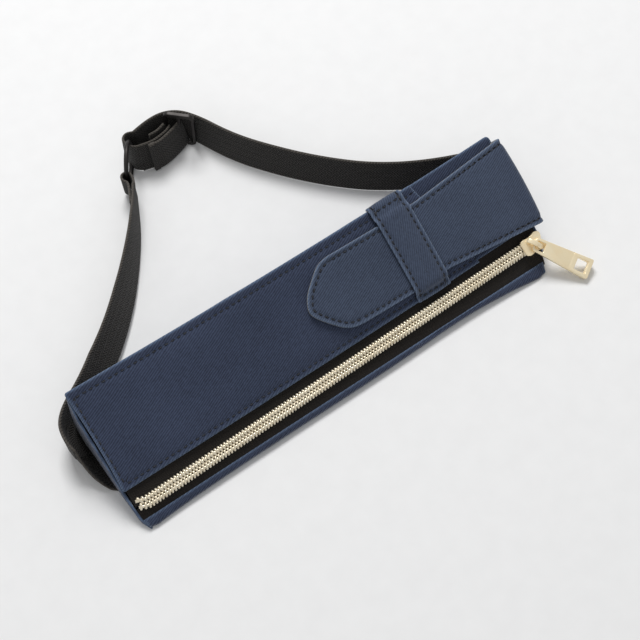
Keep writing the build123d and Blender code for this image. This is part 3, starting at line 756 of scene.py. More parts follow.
def sew(name, lines, body="case"):
    """A run of stitches as one piece of thread."""
    points, faces, marks = tubes([t for line in lines for t in stitches(line)], 6)
    return mesh(name, points, faces, THREAD, body, "navy_twill", cloth=marks)


# ---- camera ----
def add_camera():
    data = bpy.data.cameras.new("camera")
    data.lens = 84.3
    data.sensor_width = 36.0
    camera = link(bpy.data.objects.new("camera", data))
    target = Vector((6.05, 10.88, 0.0)) * MM
    camera.location = Vector((-155.74, -216.10, 526.03)) * MM
    camera.rotation_euler = (target - camera.location).to_track_quat("-Z", "Y").to_euler()
    bpy.context.scene.camera = camera


add_camera()


# ---- the elastic band ----
BAND_WIDE = 15.0
BAND_LOW = 0.3            # the band's lower edge over the table
FLOOR_GAP = 0.05          # the least height of its surface
PINCHED, TUCKED = 0.86, 0.3    # shares of a stretch's length where its pinch starts and its tuck ends


def route(name, points):
    """The band's centre line at half its width: a NURBS on part.py's route points, in the case's frame."""
    data = bpy.data.curves.new(name, "CURVE")
    data.dimensions = "3D"
    spline = data.splines.new("NURBS")
    spline.points.add(len(points) - 1)
    for point, (x, y) in zip(spline.points, points):
        point.co = (x * MM, y * MM, (BAND_LOW + BAND_WIDE / 2) * MM, 1.0)
    spline.order_u = 3
    spline.use_endpoint_u = True
    spline.resolution_u = 12
    return outline_mesh(data)[0] / MM


BAND_RIGHT = [
    (103.6, 12.5), (104.4, 19.0), (99.5, 28.5), (79.5, 37.0), (61.0, 48.5), (47.0, 61.5),
    (34.5, 76.0), (21.5, 94.5), (13.2, 115.0), (6.5, 121.2), (-2.5, 122.4), (-10.0, 120.8),
]
BAND_LEFT = [
    (-104.0, 12.5), (-105.0, 19.0), (-100.5, 28.0), (-84.0, 35.5), (-66.5, 48.0),
    (-50.5, 63.5), (-36.5, 80.0), (-27.6, 92.9), (-23.2, 100.9),
]
BAND_RETURN = [(-12.8, 112.6), (-6.0, 111.4), (1.0, 112.4), (4.4, 113.9)]
BAND_TAIL = [(-5.8, 114.6), (-1.6, 114.7), (2.6, 116.0)]


def resample(line, step):
    line = np.asarray(line, float)
    length = travel(line)[-1]
    return along(line, np.linspace(0, 1, int(length / step) + 2))


def ribbon(name, line, lean, replaces=(), wide=BAND_WIDE, thick=1.2, body="case", pinch=0.0, tuck=0.0):
    """A flat band on edge along a line of points. lean(share) turns it about its own line, in degrees.

    pinch is the share of its width that it gathers away at its far end. tuck bends its lower edge in
    towards the case near its start."""
    line = resample(line, 1.0 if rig.quick() else 0.5)
    way = unit(np.gradient(line, axis=0))
    up = np.tile((0.0, 0.0, 1.0), (len(line), 1))
    side = unit(np.cross(way, up))
    up = np.cross(side, way)
    share = travel(line) / travel(line)[-1]
    tilt = np.radians(lean(share))[:, None]
    height = np.cos(tilt) * up + np.sin(tilt) * side
    out = np.cross(way, height)
    ring = []
    for b in np.linspace(-wide / 2, wide / 2, 25):
        edge = 1 - min(1.0, (wide / 2 - abs(b)) / 0.5)
        ring.append((b, thick / 2 * math.sqrt(1 - edge**2 * 0.96)))
    loop = ring + [(b, -h) for b, h in reversed(ring)]
    full = 1 - pinch * smooth((share - PINCHED) / 0.12)[:, None]
    bend = tuck * smooth(1 - share / TUCKED)[:, None]
    points = np.stack([
        line + height * b * full + out * h + side * bend * max(0.0, -2 * b / wide) ** 1.5 for b, h in loop
    ], axis=1)
    low = points[..., 2].min(axis=1)
    points[..., 2] += np.maximum(0.0, FLOOR_GAP - low)[:, None]
    faces = wrap(*points.shape[:2], turned=True)
    reach = travel(line)
    marks = [(r, b) for r in reach for b, h in loop]
    rims = [(min(1.0, wide / 2 - abs(b)), 0.0) for r in reach for b, h in loop]
    piece = mesh(name, points.reshape(-1, 3), faces, ELASTIC, body, "black_elastic", replaces, marks, rims)
    return piece, line, (points[0, 24], points[0, 0])


def declare_band(obj, line, fitting):
    """Tell the frame how long this stretch of band is, and where it leaves what holds it."""
    path = resample(line, 0.6) * MM
    length = float(travel(path)[-1])
    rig.cord(obj, exit=tuple(path[0]), length=length, diameter=BAND_WIDE * MM, far_end="fitting",
            stiffness="limp", lay="loose", path=path.tolist(), with_pieces=[frame["nodes"][fitting]])


LEFT_TUCK = 7.5            # how far the left stretch's lower edge bends in at the fold
BAND_STARTS = {}          # lower and upper corner of each stretch's first section, by side


def add_bands():
    right, line, (high, low) = ribbon(
        "band_right_stretch", route("route_right", BAND_RIGHT),
        lambda t: np.interp(t, (0, 0.3, 0.6, 0.8, 1.0), (24, 17, 17, 14, 3)), ("band_right",))
    BAND_STARTS[1] = low, high
    declare_band(right, line, "adjuster")
    left, line, (high, low) = ribbon(
        "band_left_stretch", route("route_left", BAND_LEFT),
        lambda t: -np.interp(t, (0.0, 0.07, 0.2, 0.35, 0.6, 0.85, 1.0), (0, 4, 20, 34, 26, 10, 2)),
        ("band_left",), pinch=0.25, tuck=LEFT_TUCK)
    BAND_STARTS[-1] = low, high
    declare_band(left, line, "ring")


add_bands()


# ---- sewn cloth of the case ----
FRONT_PULL = 2.3          # how far the front edge is drawn in between the ends
CORNER_PULL = 4.6         # how far the front right corner is drawn in


def near_flat(x):
    return NEAR_L + (NEAR_R - NEAR_L) * (np.asarray(x, float) + HALF) / (2 * HALF)


def sag(a, b):
    """The sleeve's edges bow a little towards the zip in the middle of the case."""
    return belly(a) * (0.5 + 0.8 * np.clip((b - 18) / 42, 0, 1))


def on_slope(level):
    """A placing function for cloth whose middle stands at the level over the slope plane."""
    return lambda a, b, n: place(a, b - sag(a, b), level + n)


def waist(x):
    """Like belly(), but reaching nearly its full depth soon after each end, and deepest towards the right."""
    x = np.asarray(x, float)
    corner = 0.45 * smooth((np.abs(x) - 92.5) / 5)
    return 0.85 * (1 - np.clip(np.abs(x) / HALF, 0, 1) ** 5) + 0.35 * np.exp(-(((x - 52) / 24) ** 2)) + corner


def drawn_in(x, y):
    """Sideways pull of the two front corners, the right one most."""
    x, y = np.asarray(x, float), np.asarray(y, float)
    right = CORNER_PULL * smooth((x - 76) / 21) * smooth(1 - (y - FRONT_Y) / 13)
    return right - 1.8 * smooth((-x - 88) / 9.5) * smooth(1 - (y - FRONT_Y) / 6)


def row(x0, x1, s0, s1, count=60):
    return stack(np.linspace(x0, x1, count), np.linspace(s0, s1, count))


MOUTH_NEAR, MOUTH_FAR = 69.3, 59.0     # the pocket's mouth, under the flap
SEAM_NEAR, SEAM_FAR, SEAM_END = 2.3, 3.3, 2.0
SLEEVE = [(-HALF, near_flat(-HALF)), (MOUTH_NEAR, near_flat(MOUTH_NEAR)), (MOUTH_FAR, FAR), (-HALF, FAR)]


def sleeve_seams():
    end, low, high = -HALF + SEAM_END, near_flat(-HALF) + SEAM_NEAR, FAR - SEAM_FAR
    near = row(end, MOUTH_NEAR - 1, low, near_flat(MOUTH_NEAR) + SEAM_NEAR, 90)
    return [near, row(end, MOUTH_FAR - 1, high, high, 90), row(end, end, low, high, 40)]


def pillow(a, b):
    """The sleeve's middle stands a little proud of its sewn edges, unevenly."""
    edge = np.minimum.reduce([b - near_flat(a), FAR - b, a + HALF])
    return 0.55 * smooth((edge - 1.5) / 9) + ripple(a, b, 0.07)


def add_sleeve():
    seams, spot = sleeve_seams(), on_slope(0.72)
    shell("sleeve_front", patch(SLEEVE, (1.2, 0.6, 0.6, 1.2), (0, 0, 0, 0.6)), spot, 1.6,
          ("sleeve_front_panel", "sleeve_near_hem", "sleeve_far_hem", "sleeve_end_hem"), seams, pillow,
          soft=0.8)
    sew("sleeve_stitches", [spot(*line.T, 0.8 - LAID + pillow(*line.T)) for line in seams])
    corners = [(-HALF + 1, near_flat(-HALF) + 1.2), (98.6, near_flat(98) + 1.0), (99.0, FAR - 0.2),
               (-HALF + 1, FAR - 0.6)]
    rise = lambda a, b: 0.35 * smooth((a - 60) / 10) + ripple(a, b, 0.05)
    shell("sleeve_back", patch(corners, (0.6, 1.5, 2.2, 0.6)), on_slope(-0.5), 1.2,
          ("sleeve_back_layer",), (), rise)


def box(half, low, high):
    """The corners of a flat rectangle that is as wide to the left of x = 0 as to the right."""
    return [(-half, low), (half, low), (half, high), (-half, high)]


def add_walls():
    def under(a, b, n):
        y = b + FRONT_PULL * waist(a) * smooth(1 - (b - FRONT_Y) / 20)
        return stack(a - drawn_in(a, b), y, 0.62 + n)

    shell("base_cloth", patch(box(HALF - 0.5, FRONT_Y + 0.8, BACK_Y - 0.3), 1.5), under, 0.9,
          ("bottom_panel",))

    top = float(place(0, FAR - 0.8, -0.4)[2])

    def behind(a, b, n):
        dent = 0.9 * belly(a) * np.sin(np.pi * np.clip(b / top, 0, 1))
        y = BACK_Y - 0.55 - dent + n - 0.8 * belly(a) * np.clip(b / top, 0, 1) + ripple(a, b, 0.12)
        return stack(a, y, b)

    seam = row(-HALF + 1, HALF - 1, 2.6, 2.6, 90)
    shell("back_wall", patch(box(HALF - 0.3, 0.3, top), 1.0), behind, 1.1, ("back_panel",), (seam,))

    front = [(FRONT_Y + 0.5, 0.4), (BACK_Y - 0.4, 0.4), (BACK_Y - 0.4, top - 0.3), (FRONT_Y + 2.6, 1.9)]
    for side, node in ((-1, "left_end_panel"), (1, "right_end_panel")):
        def aside(a, b, n, side=side):
            swell = 0.7 * smooth((a - FRONT_Y) / 16) * smooth((BACK_Y - a) / 10) * smooth(b / 6)
            x = side * (HALF - 0.6 + swell + n) + ripple(a, b, 0.12)
            return stack(x - drawn_in(x, a), a, b)

        shell(node.replace("panel", "wall"), patch(front, (0.6, 1.0, 1.0, 0.4)), aside, 1.1, (node,))


# slope position and height along the front strip, from its hidden lower edge
STRIP_PATH = flowing([(5.0, -1.2), (2.6, -1.35), (0.9, -0.9), (0.75, -0.1), (2.0, 0.15), (3.9, 0.12),
                      (5.0, -0.05)], 60)


def add_front_strip():
    long = travel(STRIP_PATH)[-1]

    def fold(a, b, n):
        s, height = np.moveaxis(along(STRIP_PATH, np.clip(b / long, 0, 1)), -1, 0)
        inward = FRONT_PULL * waist(a) * smooth((4.6 - s) / 3.2)
        inward = inward - 0.9 * smooth((a - 55) / 40) * smooth((4.2 - s) / 3)
        point = place(a, s + inward, height + n)
        point[..., 0] -= drawn_in(a, point[..., 1])
        point[..., 2] = np.maximum(point[..., 2], 0.35)
        return point

    shell("front_roll", patch(box(HALF - 0.4, 0.0, long), 0.6), fold, 0.8, ("front_strip",), (),
          lambda a, b: ripple(a, b * 3, 0.06), soft=0.4)


ZIP_END = 95.3            # half the chain's length


def add_tapes():
    for node, edge, gap in (("zip_tape_lower", lambda x: 3.5 + 0 * x, -0.35),
                            ("zip_tape_upper", near_flat, 0.35)):
        ends = np.array((-HALF + 1.0, HALF - 1.0))
        inner = [(x, float(zip_line(x)) + gap) for x in ends]
        outer = [(x, float(edge(x)) + (1.4 if gap > 0 else 0.0)) for x in ends]
        corners = inner + outer[::-1] if gap > 0 else outer + inner[::-1]

        def spot(a, b, n):
            share = np.clip((b - zip_line(a)) / 6, 0, 1)
            return place(a - 0.6 * drawn_in(a, FRONT_Y + 0.8 * b), b - belly(a) * 0.5 * share, -0.32 + n)

        shell(node.replace("zip_tape", "tape"), patch(corners, 0.3), spot, 0.6, (node,), (),
              lambda a, b: ripple(a, b * 2, 0.05), soft=0.3, material=TAPE, slot="black_tape")


BIND = [(25.0, 1.4), (25.0, 30.6), (20.0, 27.6), (-6.0, 11.6)]


def add_bindings():
    """The narrow tape round the inside of each end seam, out of sight while the case is closed."""
    long = float(travel(np.array(BIND))[-1])
    for side, node in ((-1, "left_seam_binding"), (1, "right_seam_binding")):
        def spot(a, b, n, side=side):
            point = along(BIND, np.clip(b / long, 0, 1))
            return stack(side * (HALF - 1.3 - a), point[..., 0] - 0.4 - n, point[..., 1] - 0.3)

        flat = patch([(0.0, 0.0), (3.0, 0.0), (3.0, long), (0.0, long)], 0.3, step=1.5)
        shell(node.replace("binding", "tape"), flat, spot, 0.6, (node,), soft=0.3, material=TAPE,
              slot="black_tape")


TAB_THICK = 1.0


def add_corners():
    """The band's sewn ends: flat under the base, then folding up to the stretch beside the case."""
    for side, node in ((-1, "band_tab_left"), (1, "band_tab_right")):
        low, high = BAND_STARTS[side]
        v = np.linspace(0, 1, 21)[None, :, None]
        t = np.linspace(0, 1, 46)[:, None, None]
        start = low * (1 - v) + high * v
        if side < 0:
            inward = np.array((0.99, 0.15, 0.0))
            start = start + LEFT_TUCK * (np.maximum(1 - 2 * v, 0) ** 1.5 - 1 + v) * inward
        at = lambda *columns: np.concatenate([c + 0 * v for c in columns], axis=-1)
        sewn = at(side * 88.0, 11.0 - 15.0 * v, 0.6)
        turn = at(side * (98.0 + 5.5 * v), 11.5 - 21.5 * v, 0.6)
        drop = start + at(-side * (1.2 - 0.9 * v), 0.7 - 5.2 * v, -11.0 * v)
        middle = bezier(t, start, drop, turn, sewn)
        flat = FLOOR_GAP + TAB_THICK / 2
        middle[..., 2] = np.maximum(flat + (middle[..., 2] - flat) * (1 - smooth(t[..., 0] * 4 - 2)), flat)
        out = normals(middle)
        edge = np.clip(np.minimum(v, 1 - v) * BAND_WIDE / 0.5, 0, 1)
        half = TAB_THICK / 2 * np.sqrt(np.clip(1 - (1 - edge) ** 2, 0.04, 1))
        top, bottom = middle + out * half, middle - out * half
        loop = np.concatenate([top, bottom[:, ::-1]], axis=1)
        faces = wrap(*loop.shape[:2], turned=side < 0)
        centre = middle[:, 10]
        reach = travel(centre)
        across = np.concatenate([v[0, :, 0], v[0, ::-1, 0]]) * BAND_WIDE
        marks = [(r, b) for r in reach for b in across]
        rims = [(min(1.0, min(b, BAND_WIDE - b)), 0.0) for r in reach for b in across]
        mesh(node + "_fold", loop.reshape(-1, 3), faces, ELASTIC, "case", "black_elastic", (node,), marks,
             rims)


add_sleeve()
add_walls()
add_front_strip()
add_tapes()
add_bindings()
add_corners()


# ---- flap and keeper loop ----
FLAP_SPLITS = (88.5, 67.5)                # where the root meets the bowing part, and that the tongue
FOLD_X, TIP_X, FLAP_MID = HINGE[0], 14.5, 38.0    # where the fold and the tip begin, and the middle's s
FLAP_NEAR_EDGE = [(-5.0, 23.8), (14.5, 23.8), (23.5, 23.5), (38.6, 23.2), (57.0, 23.8), (99.0, 19.2),
                  (112.0, 19.0)]
FLAP_FAR_EDGE = [(-5.0, 53.5), (14.5, 53.7), (39.3, 53.2), (57.0, 53.6), (99.0, 56.9), (112.0, 57.2)]
TONGUE_TIP = [(14.5, 23.8), (10.2, 24.5), (6.4, 26.5), (1.3, 31.8), (-2.3, 36.9), (-2.4, 40.1),
              (0.3, 44.9), (6.2, 50.2), (10.0, 52.8), (14.5, 53.7)]
FOLDS = {
    "cloth": [(99.0, 3.3), (101.0, 3.05), (102.15, 1.5), (101.2, -0.1), (98.4, -0.8)],
    "lining": [(99.0, 2.6), (100.6, 2.45), (101.3, 1.45), (100.5, 0.5), (98.4, 0.0)],
}


def edge_line(points, x0, x1):
    xs = [x0] + [x for x, s in points if x0 < x < x1] + [x1]
    return stack(xs, np.interp(xs, *zip(*points)))


def flap_spot(layer):
    """Places a layer of the flap: flat on the slope as far as its fold, then round the right end."""
    fold = flowing(FOLDS[layer], 50)
    level = fold[0][1]
    reach = travel(fold)

    def spot(a, b, n):
        past = np.clip(a - FOLD_X, 0, reach[-1])
        way = unit(np.gradient(fold, axis=0))
        x, height, out_x, out_n = (
            np.where(a > FOLD_X, np.interp(past, reach, values), before)
            for values, before in ((fold[:, 0], a), (fold[:, 1], level), (-way[:, 1], 0.0), (way[:, 0], 1.0))
        )
        round_end = 0.9 * ((b - FLAP_MID) / 19) ** 2 * smooth((a - 97) / 5)
        return place(x - round_end + out_x * n, b - sag(a, b) * 0.6, height + out_n * n)

    return spot, FOLD_X + reach[-1]


def billow(a, b):
    """The flap stands up a little between the fold and the loop, and the tongue's tip lifts."""
    middle = smooth((a - 55) / 12) * smooth((99 - a) / 16)
    across = 1 - ((b - FLAP_MID) / 21) ** 2
    tip = 0.25 * smooth((16 - a) / 18)
    return 0.55 * middle * across + tip + ripple(a + 20, b, 0.09) * smooth((104 - a) / 8)


def flap_outline(kind, end):
    root, tongue = FLAP_SPLITS
    span = {"root": (root, end), "bow": (tongue, root), "tongue": (TIP_X, tongue)}[kind]
    near, far = edge_line(FLAP_NEAR_EDGE, *span), edge_line(FLAP_FAR_EDGE, *span)
    right = np.array([near[-1], far[-1]])
    left = flowing(TONGUE_TIP, 80) if kind == "tongue" else np.array([near[0], far[0]])
    return near, right, far, left


FLAP_SEAM = 2.0           # how far the flap's stitching is from its edge
FLAP_PARTS = {            # stem of its nodes' names, its two bodies, where it bends, and its open sides
    "root": ("flap_root_", "case", "flap_root", 101.5, 95.5, ("left",)),
    "bow": ("flap_bow_", "flap_root", "flap_bow", 84.0, 72.0, ("left", "right")),
    "tongue": ("tongue_", "flap_bow", "flap_tongue", 63.0, 51.0, ("right",)),
}


def bend(piece, kind):
    """Lets a piece of the flap follow both of the bodies that it lies between."""
    first, second, *ends = FLAP_PARTS[kind][1:5]
    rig.blend(piece, first, second, *(tuple(place(x, FLAP_MID, 3.0) * MM) for x in ends))


def add_flap():
    seams = [inset(edge_line(FLAP_NEAR_EDGE, TIP_X, 104), FLAP_SEAM),
             inset(edge_line(FLAP_FAR_EDGE, TIP_X, 104), -FLAP_SEAM),
             inset(flowing(TONGUE_TIP, 80), -FLAP_SEAM)]
    for layer, material, thick, slot, rows in (("cloth", PAINTED_LIGHTER_TWILL, 0.85, "navy_twill", seams),
                                               ("lining", LINING, 0.6, "navy_lining", ())):
        spot, end = flap_spot(layer)
        for kind, (stem, *_, cut) in FLAP_PARTS.items():
            fold = ("flap_fold",) if stem + layer == "flap_root_cloth" else ()
            bend(shell(f"flap_{kind}_{layer}_piece", coons(*flap_outline(kind, end)), spot, thick,
                       fold + (stem + layer,), rows, billow, cut, soft=thick / 2, material=material,
                       body=None, slot=slot), kind)
        if layer == "lining":
            continue
        root, tip = FLAP_SPLITS
        for kind, low, high in (("root", root, 103.0), ("bow", tip, root), ("tongue", -9.0, tip)):
            lines = []
            for line in seams:
                line = resample(line, 0.3)
                line = line[(line[:, 0] >= low) & (line[:, 0] < high)]
                if len(line) > 12:
                    lines.append(spot(*line.T, thick / 2 - LAID + billow(*line.T)))
            bend(sew(f"flap_{kind}_stitches", lines, None), kind)


LOOP_X = (38.2, 53.8)     # the keeper loop's two edges
LOOP_PATH = flowing([
    (18.6, 2.0), (19.6, 2.5), (21.4, 2.7), (22.6, 4.0), (24.0, 4.62), (30.0, 4.8), (38.0, 4.9), (46.0, 4.8),
    (53.2, 4.65), (55.0, 4.3), (56.4, 3.2), (59.4, 2.95), (60.7, 2.2), (61.0, 1.0), (60.6, 0.0),
], 160)


def add_loop():
    long = travel(LOOP_PATH)[-1]
    way = unit(np.gradient(LOOP_PATH, axis=0))
    reach = travel(LOOP_PATH)

    def spot(a, b, n):
        s, height = (np.interp(b, reach, LOOP_PATH[:, k]) for k in (0, 1))
        out_s, out_n = -np.interp(b, reach, way[:, 1]), np.interp(b, reach, way[:, 0])
        crown = 0.25 * (1 - ((a - 46) / 7.8) ** 2)
        return place(a, s - sag(a, s) + out_s * (n + crown), height + out_n * (n + crown))

    (x0, x1), gap = LOOP_X, 1.8
    seams = [row(x, x, 1.0, long - 2, 80) for x in (x0 + gap, x1 - gap)]
    seams += [row(x0 + gap, x1 - gap, b, b, 20) for b in (1.9, long - 4.6)]
    flat = patch([(x0, 0.0), (x1, 0.0), (x1, long), (x0, long)], 0.5)
    shell("keeper_strap", flat, spot, 0.9, ("keeper_loop",), seams, lambda a, b: ripple(a * 2, b, 0.06),
          soft=0.45, weave=lambda a, b: stack(b, a), material=PAINTED_LIGHTER_TWILL)
    sew("keeper_stitches", [spot(*line.T, np.full(len(line), 0.45 - LAID)) for line in seams])


add_flap()
add_loop()


# ---- zip chain, slider and puller ----
CHAIN_PITCH = 1.4
COIL_WIRE = 0.44
COIL_MID = 1.0            # height of the coils' middle
CORE = 0.62               # radius of the cord inside each coil
CORE_ROWS = 120


def on_zip(u, v, n):
    """A place on the zip: u along it, v across it towards the sleeve, n out of the slope."""
    return place(0, ZIP_MID, 0) + stack(u, v, n) @ np.array((ZIP_DIR, ZIP_SIDE, N_DIR))


def add_coils():
    for side, node in ((-1, "zip_coil_lower"), (1, "zip_coil_upper")):
        turns, steps = int(2 * ZIP_END / CHAIN_PITCH) - 1, 8 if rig.quick() else 12
        t = np.arange(turns * steps) / steps
        angle = 2 * np.pi * t
        u = -ZIP_END + CHAIN_PITCH * (t + 0.5 + (0.5 if side > 0 else 0.0)) - 0.22 * np.sin(2 * angle) * 0.5
        width = np.sign(np.cos(angle)) * np.abs(np.cos(angle)) ** 0.75
        height = np.sign(np.sin(angle)) * np.abs(np.sin(angle)) ** 0.8
        away = lambda u: smooth((-ZIP_END + 4.2 - u) / 5.0)
        curl = away(u)
        v = side * (1.2 + 1.05 * width) + 1.6 * curl
        line = on_zip(u - 0.8 * curl, v, COIL_MID + 0.62 * height + 0.5 * curl)
        fat = COIL_WIRE * (1 + 0.2 * np.clip(-width, 0, 1) ** 4 + 0.16 * np.clip(width, 0, 1) ** 4)
        middle = np.linspace(-ZIP_END + 0.4, ZIP_END - 0.4, CORE_ROWS)
        curl = away(middle)
        core = on_zip(middle - 0.8 * curl, side * 1.3 + 1.6 * curl, COIL_MID + 0.5 * curl)
        runs = [(line, fat, np.tile(ZIP_DIR, (len(line), 1))),
                (core, np.full(CORE_ROWS, CORE), np.tile(N_DIR, (CORE_ROWS, 1)))]
        points, faces = tubes(runs, 6 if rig.quick() else 8)[:2]
        mesh(node.replace("zip_coil", "coil"), points, faces, COIL, "case", "gilt_coil", (node,))


def solid(name, outlines, thick, bevel, axes, replaces=(), body="slider", deep=0.0):
    """A flat gilt part with rounded edges and holes: outlines are loops of points on the plane of axes.

    deep is how much further down its lower face reaches for each millimetre along it."""
    data = bpy.data.curves.new(name, "CURVE")
    data.dimensions = "2D"
    data.fill_mode = "BOTH"
    data.extrude = thick / 2 - bevel
    data.bevel_depth = bevel
    data.bevel_resolution = 3
    data.offset = -bevel
    for outline in outlines:
        spline = data.splines.new("POLY")
        spline.points.add(len(outline) - 1)
        for point, (x, y) in zip(spline.points, outline):
            point.co = (x, y, 0.0, 1.0)
        spline.use_cyclic_u = True
    co, faces = outline_mesh(data)
    origin, x_dir, y_dir = (np.asarray(v, float) for v in axes)
    z_dir = np.cross(x_dir, y_dir)
    co[:, 2] -= np.where(co[:, 2] < 0, deep * np.maximum(co[:, 0], 0.0), 0.0)
    points = origin + co @ np.array((x_dir, y_dir, z_dir))
    points[:, 2] = np.maximum(points[:, 2], 2 * FLOOR_GAP)
    piece = mesh(name, points, faces, GOLD, body, "gilt_metal", replaces)
    weld = piece.modifiers.new("weld", "WELD")
    weld.merge_threshold = 0.00001
    piece.data.set_sharp_from_angle(angle=math.radians(50))
    return piece


def mirrored(points):
    """A closed outline from its upper half, mirrored over the first axis."""
    lower = [(x, -y) for x, y in reversed(points) if abs(y) > 1e-6]
    return list(points) + lower


def rounded(points, radius, count=6):
    """An outline with its corners rounded."""
    out = []
    size = len(points)
    for k in range(size):
        a, b, c = (np.array(points[(k + i) % size], float) for i in (-1, 0, 1))
        first, last = (b + unit(p - b) * min(radius, np.linalg.norm(p - b) * 0.45) for p in (a, c))
        out.extend(tuple(bezier(t, first, b, last)) for t in np.linspace(0, 1, count))
    return out


SLIDER_X = 92.3
SLIDER_PLATE = mirrored([(-4.5, 0.0), (-4.5, 2.5), (-3.2, 3.2), (-0.6, 2.8), (1.4, 3.1), (3.2, 3.75),
                         (4.5, 2.9), (4.2, 1.3), (3.4, 0.0)])


def add_slider():
    axes = lambda n: (on_zip(SLIDER_X, 0.0, n), ZIP_DIR, ZIP_SIDE)
    outline = rounded(SLIDER_PLATE, 0.7)
    solid("slider_top", [outline], 1.0, 0.32, axes(2.72), ("slider_body",))
    lower = [(x * 0.84 - 0.8, y * 0.97) for x, y in outline]
    solid("slider_under", [lower], 0.9, 0.3, axes(-1.45))
    post = rounded(mirrored([(-1.2, 0.0), (0.8, 0.3), (2.8, 0.3), (3.0, 0.0)]), 0.3)
    solid("slider_post", [post], 3.4, 0.1, axes(0.6))
    for side in (-1, 1):
        wall = rounded([(-3.9, side * 2.7), (-3.6, side * 3.1), (-0.6, side * 2.95), (2.7, side * 3.6),
                        (3.6, side * 3.4), (2.6, side * 3.05), (-0.6, side * 2.5)][::side], 0.2)
        name = "upper" if side > 0 else "lower"
        solid(f"slider_flange_{name}", [wall], 1.9, 0.16, axes(1.4))


PIVOT = np.array(JOINTS["puller_lift"]["pos_m"]) / MM
TURN_AXIS = np.array(JOINTS["puller_lift"]["axis"])
AIM = np.cross(N_DIR, TURN_AXIS)
AIM = AIM if AIM @ X_DIR > 0 else -AIM
RISE = math.radians(6.5)
BLADE_DIR = math.cos(RISE) * AIM + math.sin(RISE) * N_DIR
PULLER_LONG = 25.5
PULLER_TAPER = 0.075       # growth of the puller's depth towards its wide end


def add_crown():
    top = 2.9
    foot = -0.95
    outer = arc((-3.3, foot + 1.6), (0, foot + top), (3.3, foot + 1.6), 24)
    inner = arc((2.3, foot + 1.1), (0, foot + top - 0.9), (-2.3, foot + 1.1), 24)
    outline = [(-3.5, foot - 0.2), *outer, (3.5, foot - 0.2), (2.4, foot - 0.2), *inner, (-2.4, foot - 0.2)]
    solid("crown_arch", [outline], 1.9, 0.3, (PIVOT, AIM, N_DIR), ("slider_crown",))


def add_puller():
    side = np.cross(N_DIR, AIM)
    eye = arc((0.6, -2.9), (-0.5, 0), (0.6, 2.9), 24)
    eye_hole = arc((1.0, -1.8), (0.5, 0), (1.0, 1.8), 14)
    long, half = PULLER_LONG, 4.3
    blade = eye + [(17.2, 3.8), (17.2, -3.8)]
    hole = eye_hole + rounded([(1.0, 1.8), (4.6, 2.0), (4.6, -2.0), (1.0, -1.8)], 0.7)[6:18]
    window = rounded([(18.8, -2.6), (23.8, -2.6), (23.8, 2.6), (18.8, 2.6)], 0.5)
    end = rounded([(16.6, -3.75), (long, -half), (long, half), (16.6, 3.75)], 0.9)
    axes = (PIVOT, BLADE_DIR, side)
    solid("puller_blade", [blade, hole], 0.9, 0.2, axes, ("puller",), "puller", PULLER_TAPER)
    solid("puller_end", [end, window], 1.0, 0.22, axes, (), "puller", PULLER_TAPER)


add_coils()
add_slider()
add_crown()
add_puller()


# ---- ring, adjuster and the short band stretches between them ----
BACK_LEAN = -12.0         # the layers by the ring lean back from the case


def plate(node, material):
    """Gives a CAD node its material."""
    obj = frame["nodes"][node]
    obj.data.materials.clear()
    obj.data.materials.append(material)
    return obj


def add_fittings():
    for node, width in (("ring", 0.3), ("adjuster", 0.7)):
        bevel = plate(node, GUNMETAL).modifiers.new("edge", "BEVEL")
        bevel.width = width * MM
        bevel.segments = 4
        bevel.limit_method = "ANGLE"
    plate("base_board", BOARD)


def with_height(points):
    return np.array([(x, y, BAND_LOW + BAND_WIDE / 2) for x, y in flowing(points, 60)])


def strap(name, points, lean, body=None, start=(), stop=(), **sizes):
    """A short layer of the band on a body, or one that follows the case up to start and body past stop."""
    holder = None if start else body
    piece = ribbon(name, with_height(points), lean, body=holder, **sizes)[0]
    if start:
        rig.blend(piece, "case", body, *(Vector((x, y, 8.0)) * MM for x, y in (start, stop)))


def add_loops():
    """The band's two turns round the ring: they follow it where they touch it."""
    near = [(-23.4, 100.5), (-22.3, 103.2), (-22.2, 105.7), (-23.4, 106.9), (-25.1, 106.5), (-25.7, 104.6),
            (-24.9, 101.6), (-28.7, 93.6)]
    far = [(-9.4, 120.9), (-13.2, 122.2), (-15.7, 120.5), (-15.7, 117.4), (-14.6, 114.4), (-12.0, 112.3)]
    strap("band_near_loop", near, lambda t: 3.0 + 0 * t, "ring", (-25.4, 99.0), (-23.9, 104.0), thick=1.0,
          wide=11.2)
    strap("band_far_loop", far, lambda t: BACK_LEAN * smooth(2 * t - 1), "ring", (-10.5, 117.0),
          (-14.0, 118.5), thick=1.0, wide=14.4)


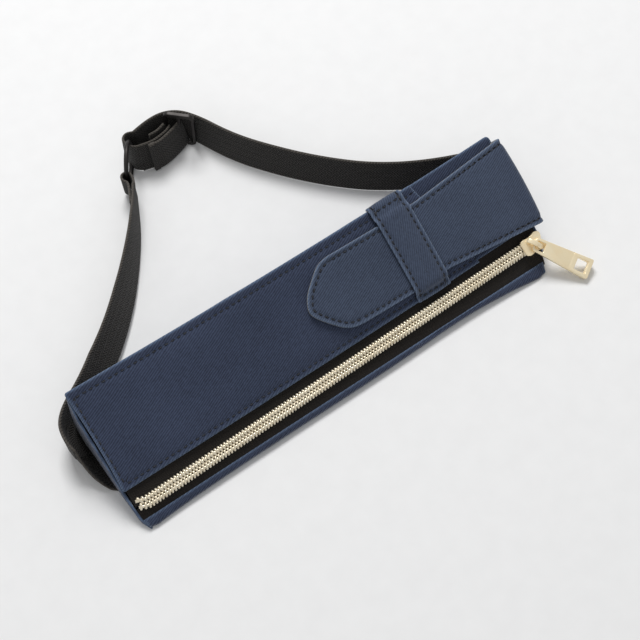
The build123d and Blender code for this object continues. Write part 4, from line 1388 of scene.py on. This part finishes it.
def add_short_bands():
    """The layers between ring and adjuster, and the sewn tail that folds over the adjuster's front."""
    lean = lambda t: BACK_LEAN + 0 * t
    for points, node in ((BAND_RETURN, "band_return"), (BAND_TAIL, "band_tail")):
        strap(node + "_stretch", points, lean, "adjuster", points[0], points[-1], replaces=(node,), thick=1.0)
    front = [(-8.4, 110.1), (-4.0, 109.8), (1.0, 110.8), (5.0, 112.0), (8.2, 113.3), (9.6, 114.4)]
    strap("band_tail_fold", front, lean, "adjuster")
    hem = [(-8.8, 110.1), (-7.8, 110.05), (-6.4, 109.9)]
    strap("band_tail_hem", hem, lean, "adjuster", wide=15.3, thick=2.0)


add_fittings()
add_loops()
add_short_bands()


# ---- floor and light ----
def add_stage():
    m = Nodes("paper_sweep")
    grain = m.noise(120.0, 3.0)
    colour = m.ramp(grain, [(0.3, (0.82, 0.82, 0.82)), (0.7, (0.84, 0.84, 0.84))])
    m.bump(grain, 0.0001, 0.1)
    floor_material = m.finish(colour, 0.9, Specular_IOR_Level=0.1)
    data = bpy.data.meshes.new("floor")
    data.from_pydata([(x, y, 0) for x, y in box(3.0, -3.0, 3.0)], [], [(0, 1, 2, 3)])
    floor = link(bpy.data.objects.new("floor", data))
    data.materials.append(floor_material)
    lamps = []
    for name, spot, size, power in (
        ("key", (0.26, 0.74, 1.15), 0.5, 14.0),
        ("fill", (-0.9, -0.7, 0.8), 1.2, 1.2),
    ):
        lamp = bpy.data.lights.new(name, "AREA")
        lamp.energy = power
        lamp.size = size
        obj = link(bpy.data.objects.new(name, lamp))
        obj.location = spot
        obj.rotation_euler = (Vector((0, 0, 0.01)) - Vector(spot)).to_track_quat("-Z", "Y").to_euler()
        lamps.append(obj)
    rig.stage(floor, *lamps)
    world = bpy.data.worlds.new("studio")
    world.use_nodes = True
    sky = world.node_tree.nodes["Background"].inputs
    sky[0].default_value, sky[1].default_value = (0.99, 0.995, 1.0, 1.0), 0.44
    bpy.context.scene.world = world
    bpy.context.scene.view_settings.view_transform = "Standard"


add_stage()
size = {"cad": [list(v) for v in CAD_BOX], "visual": [list(v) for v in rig.bounds()]}
with open("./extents.json", "w") as out:
    json.dump(size, out)
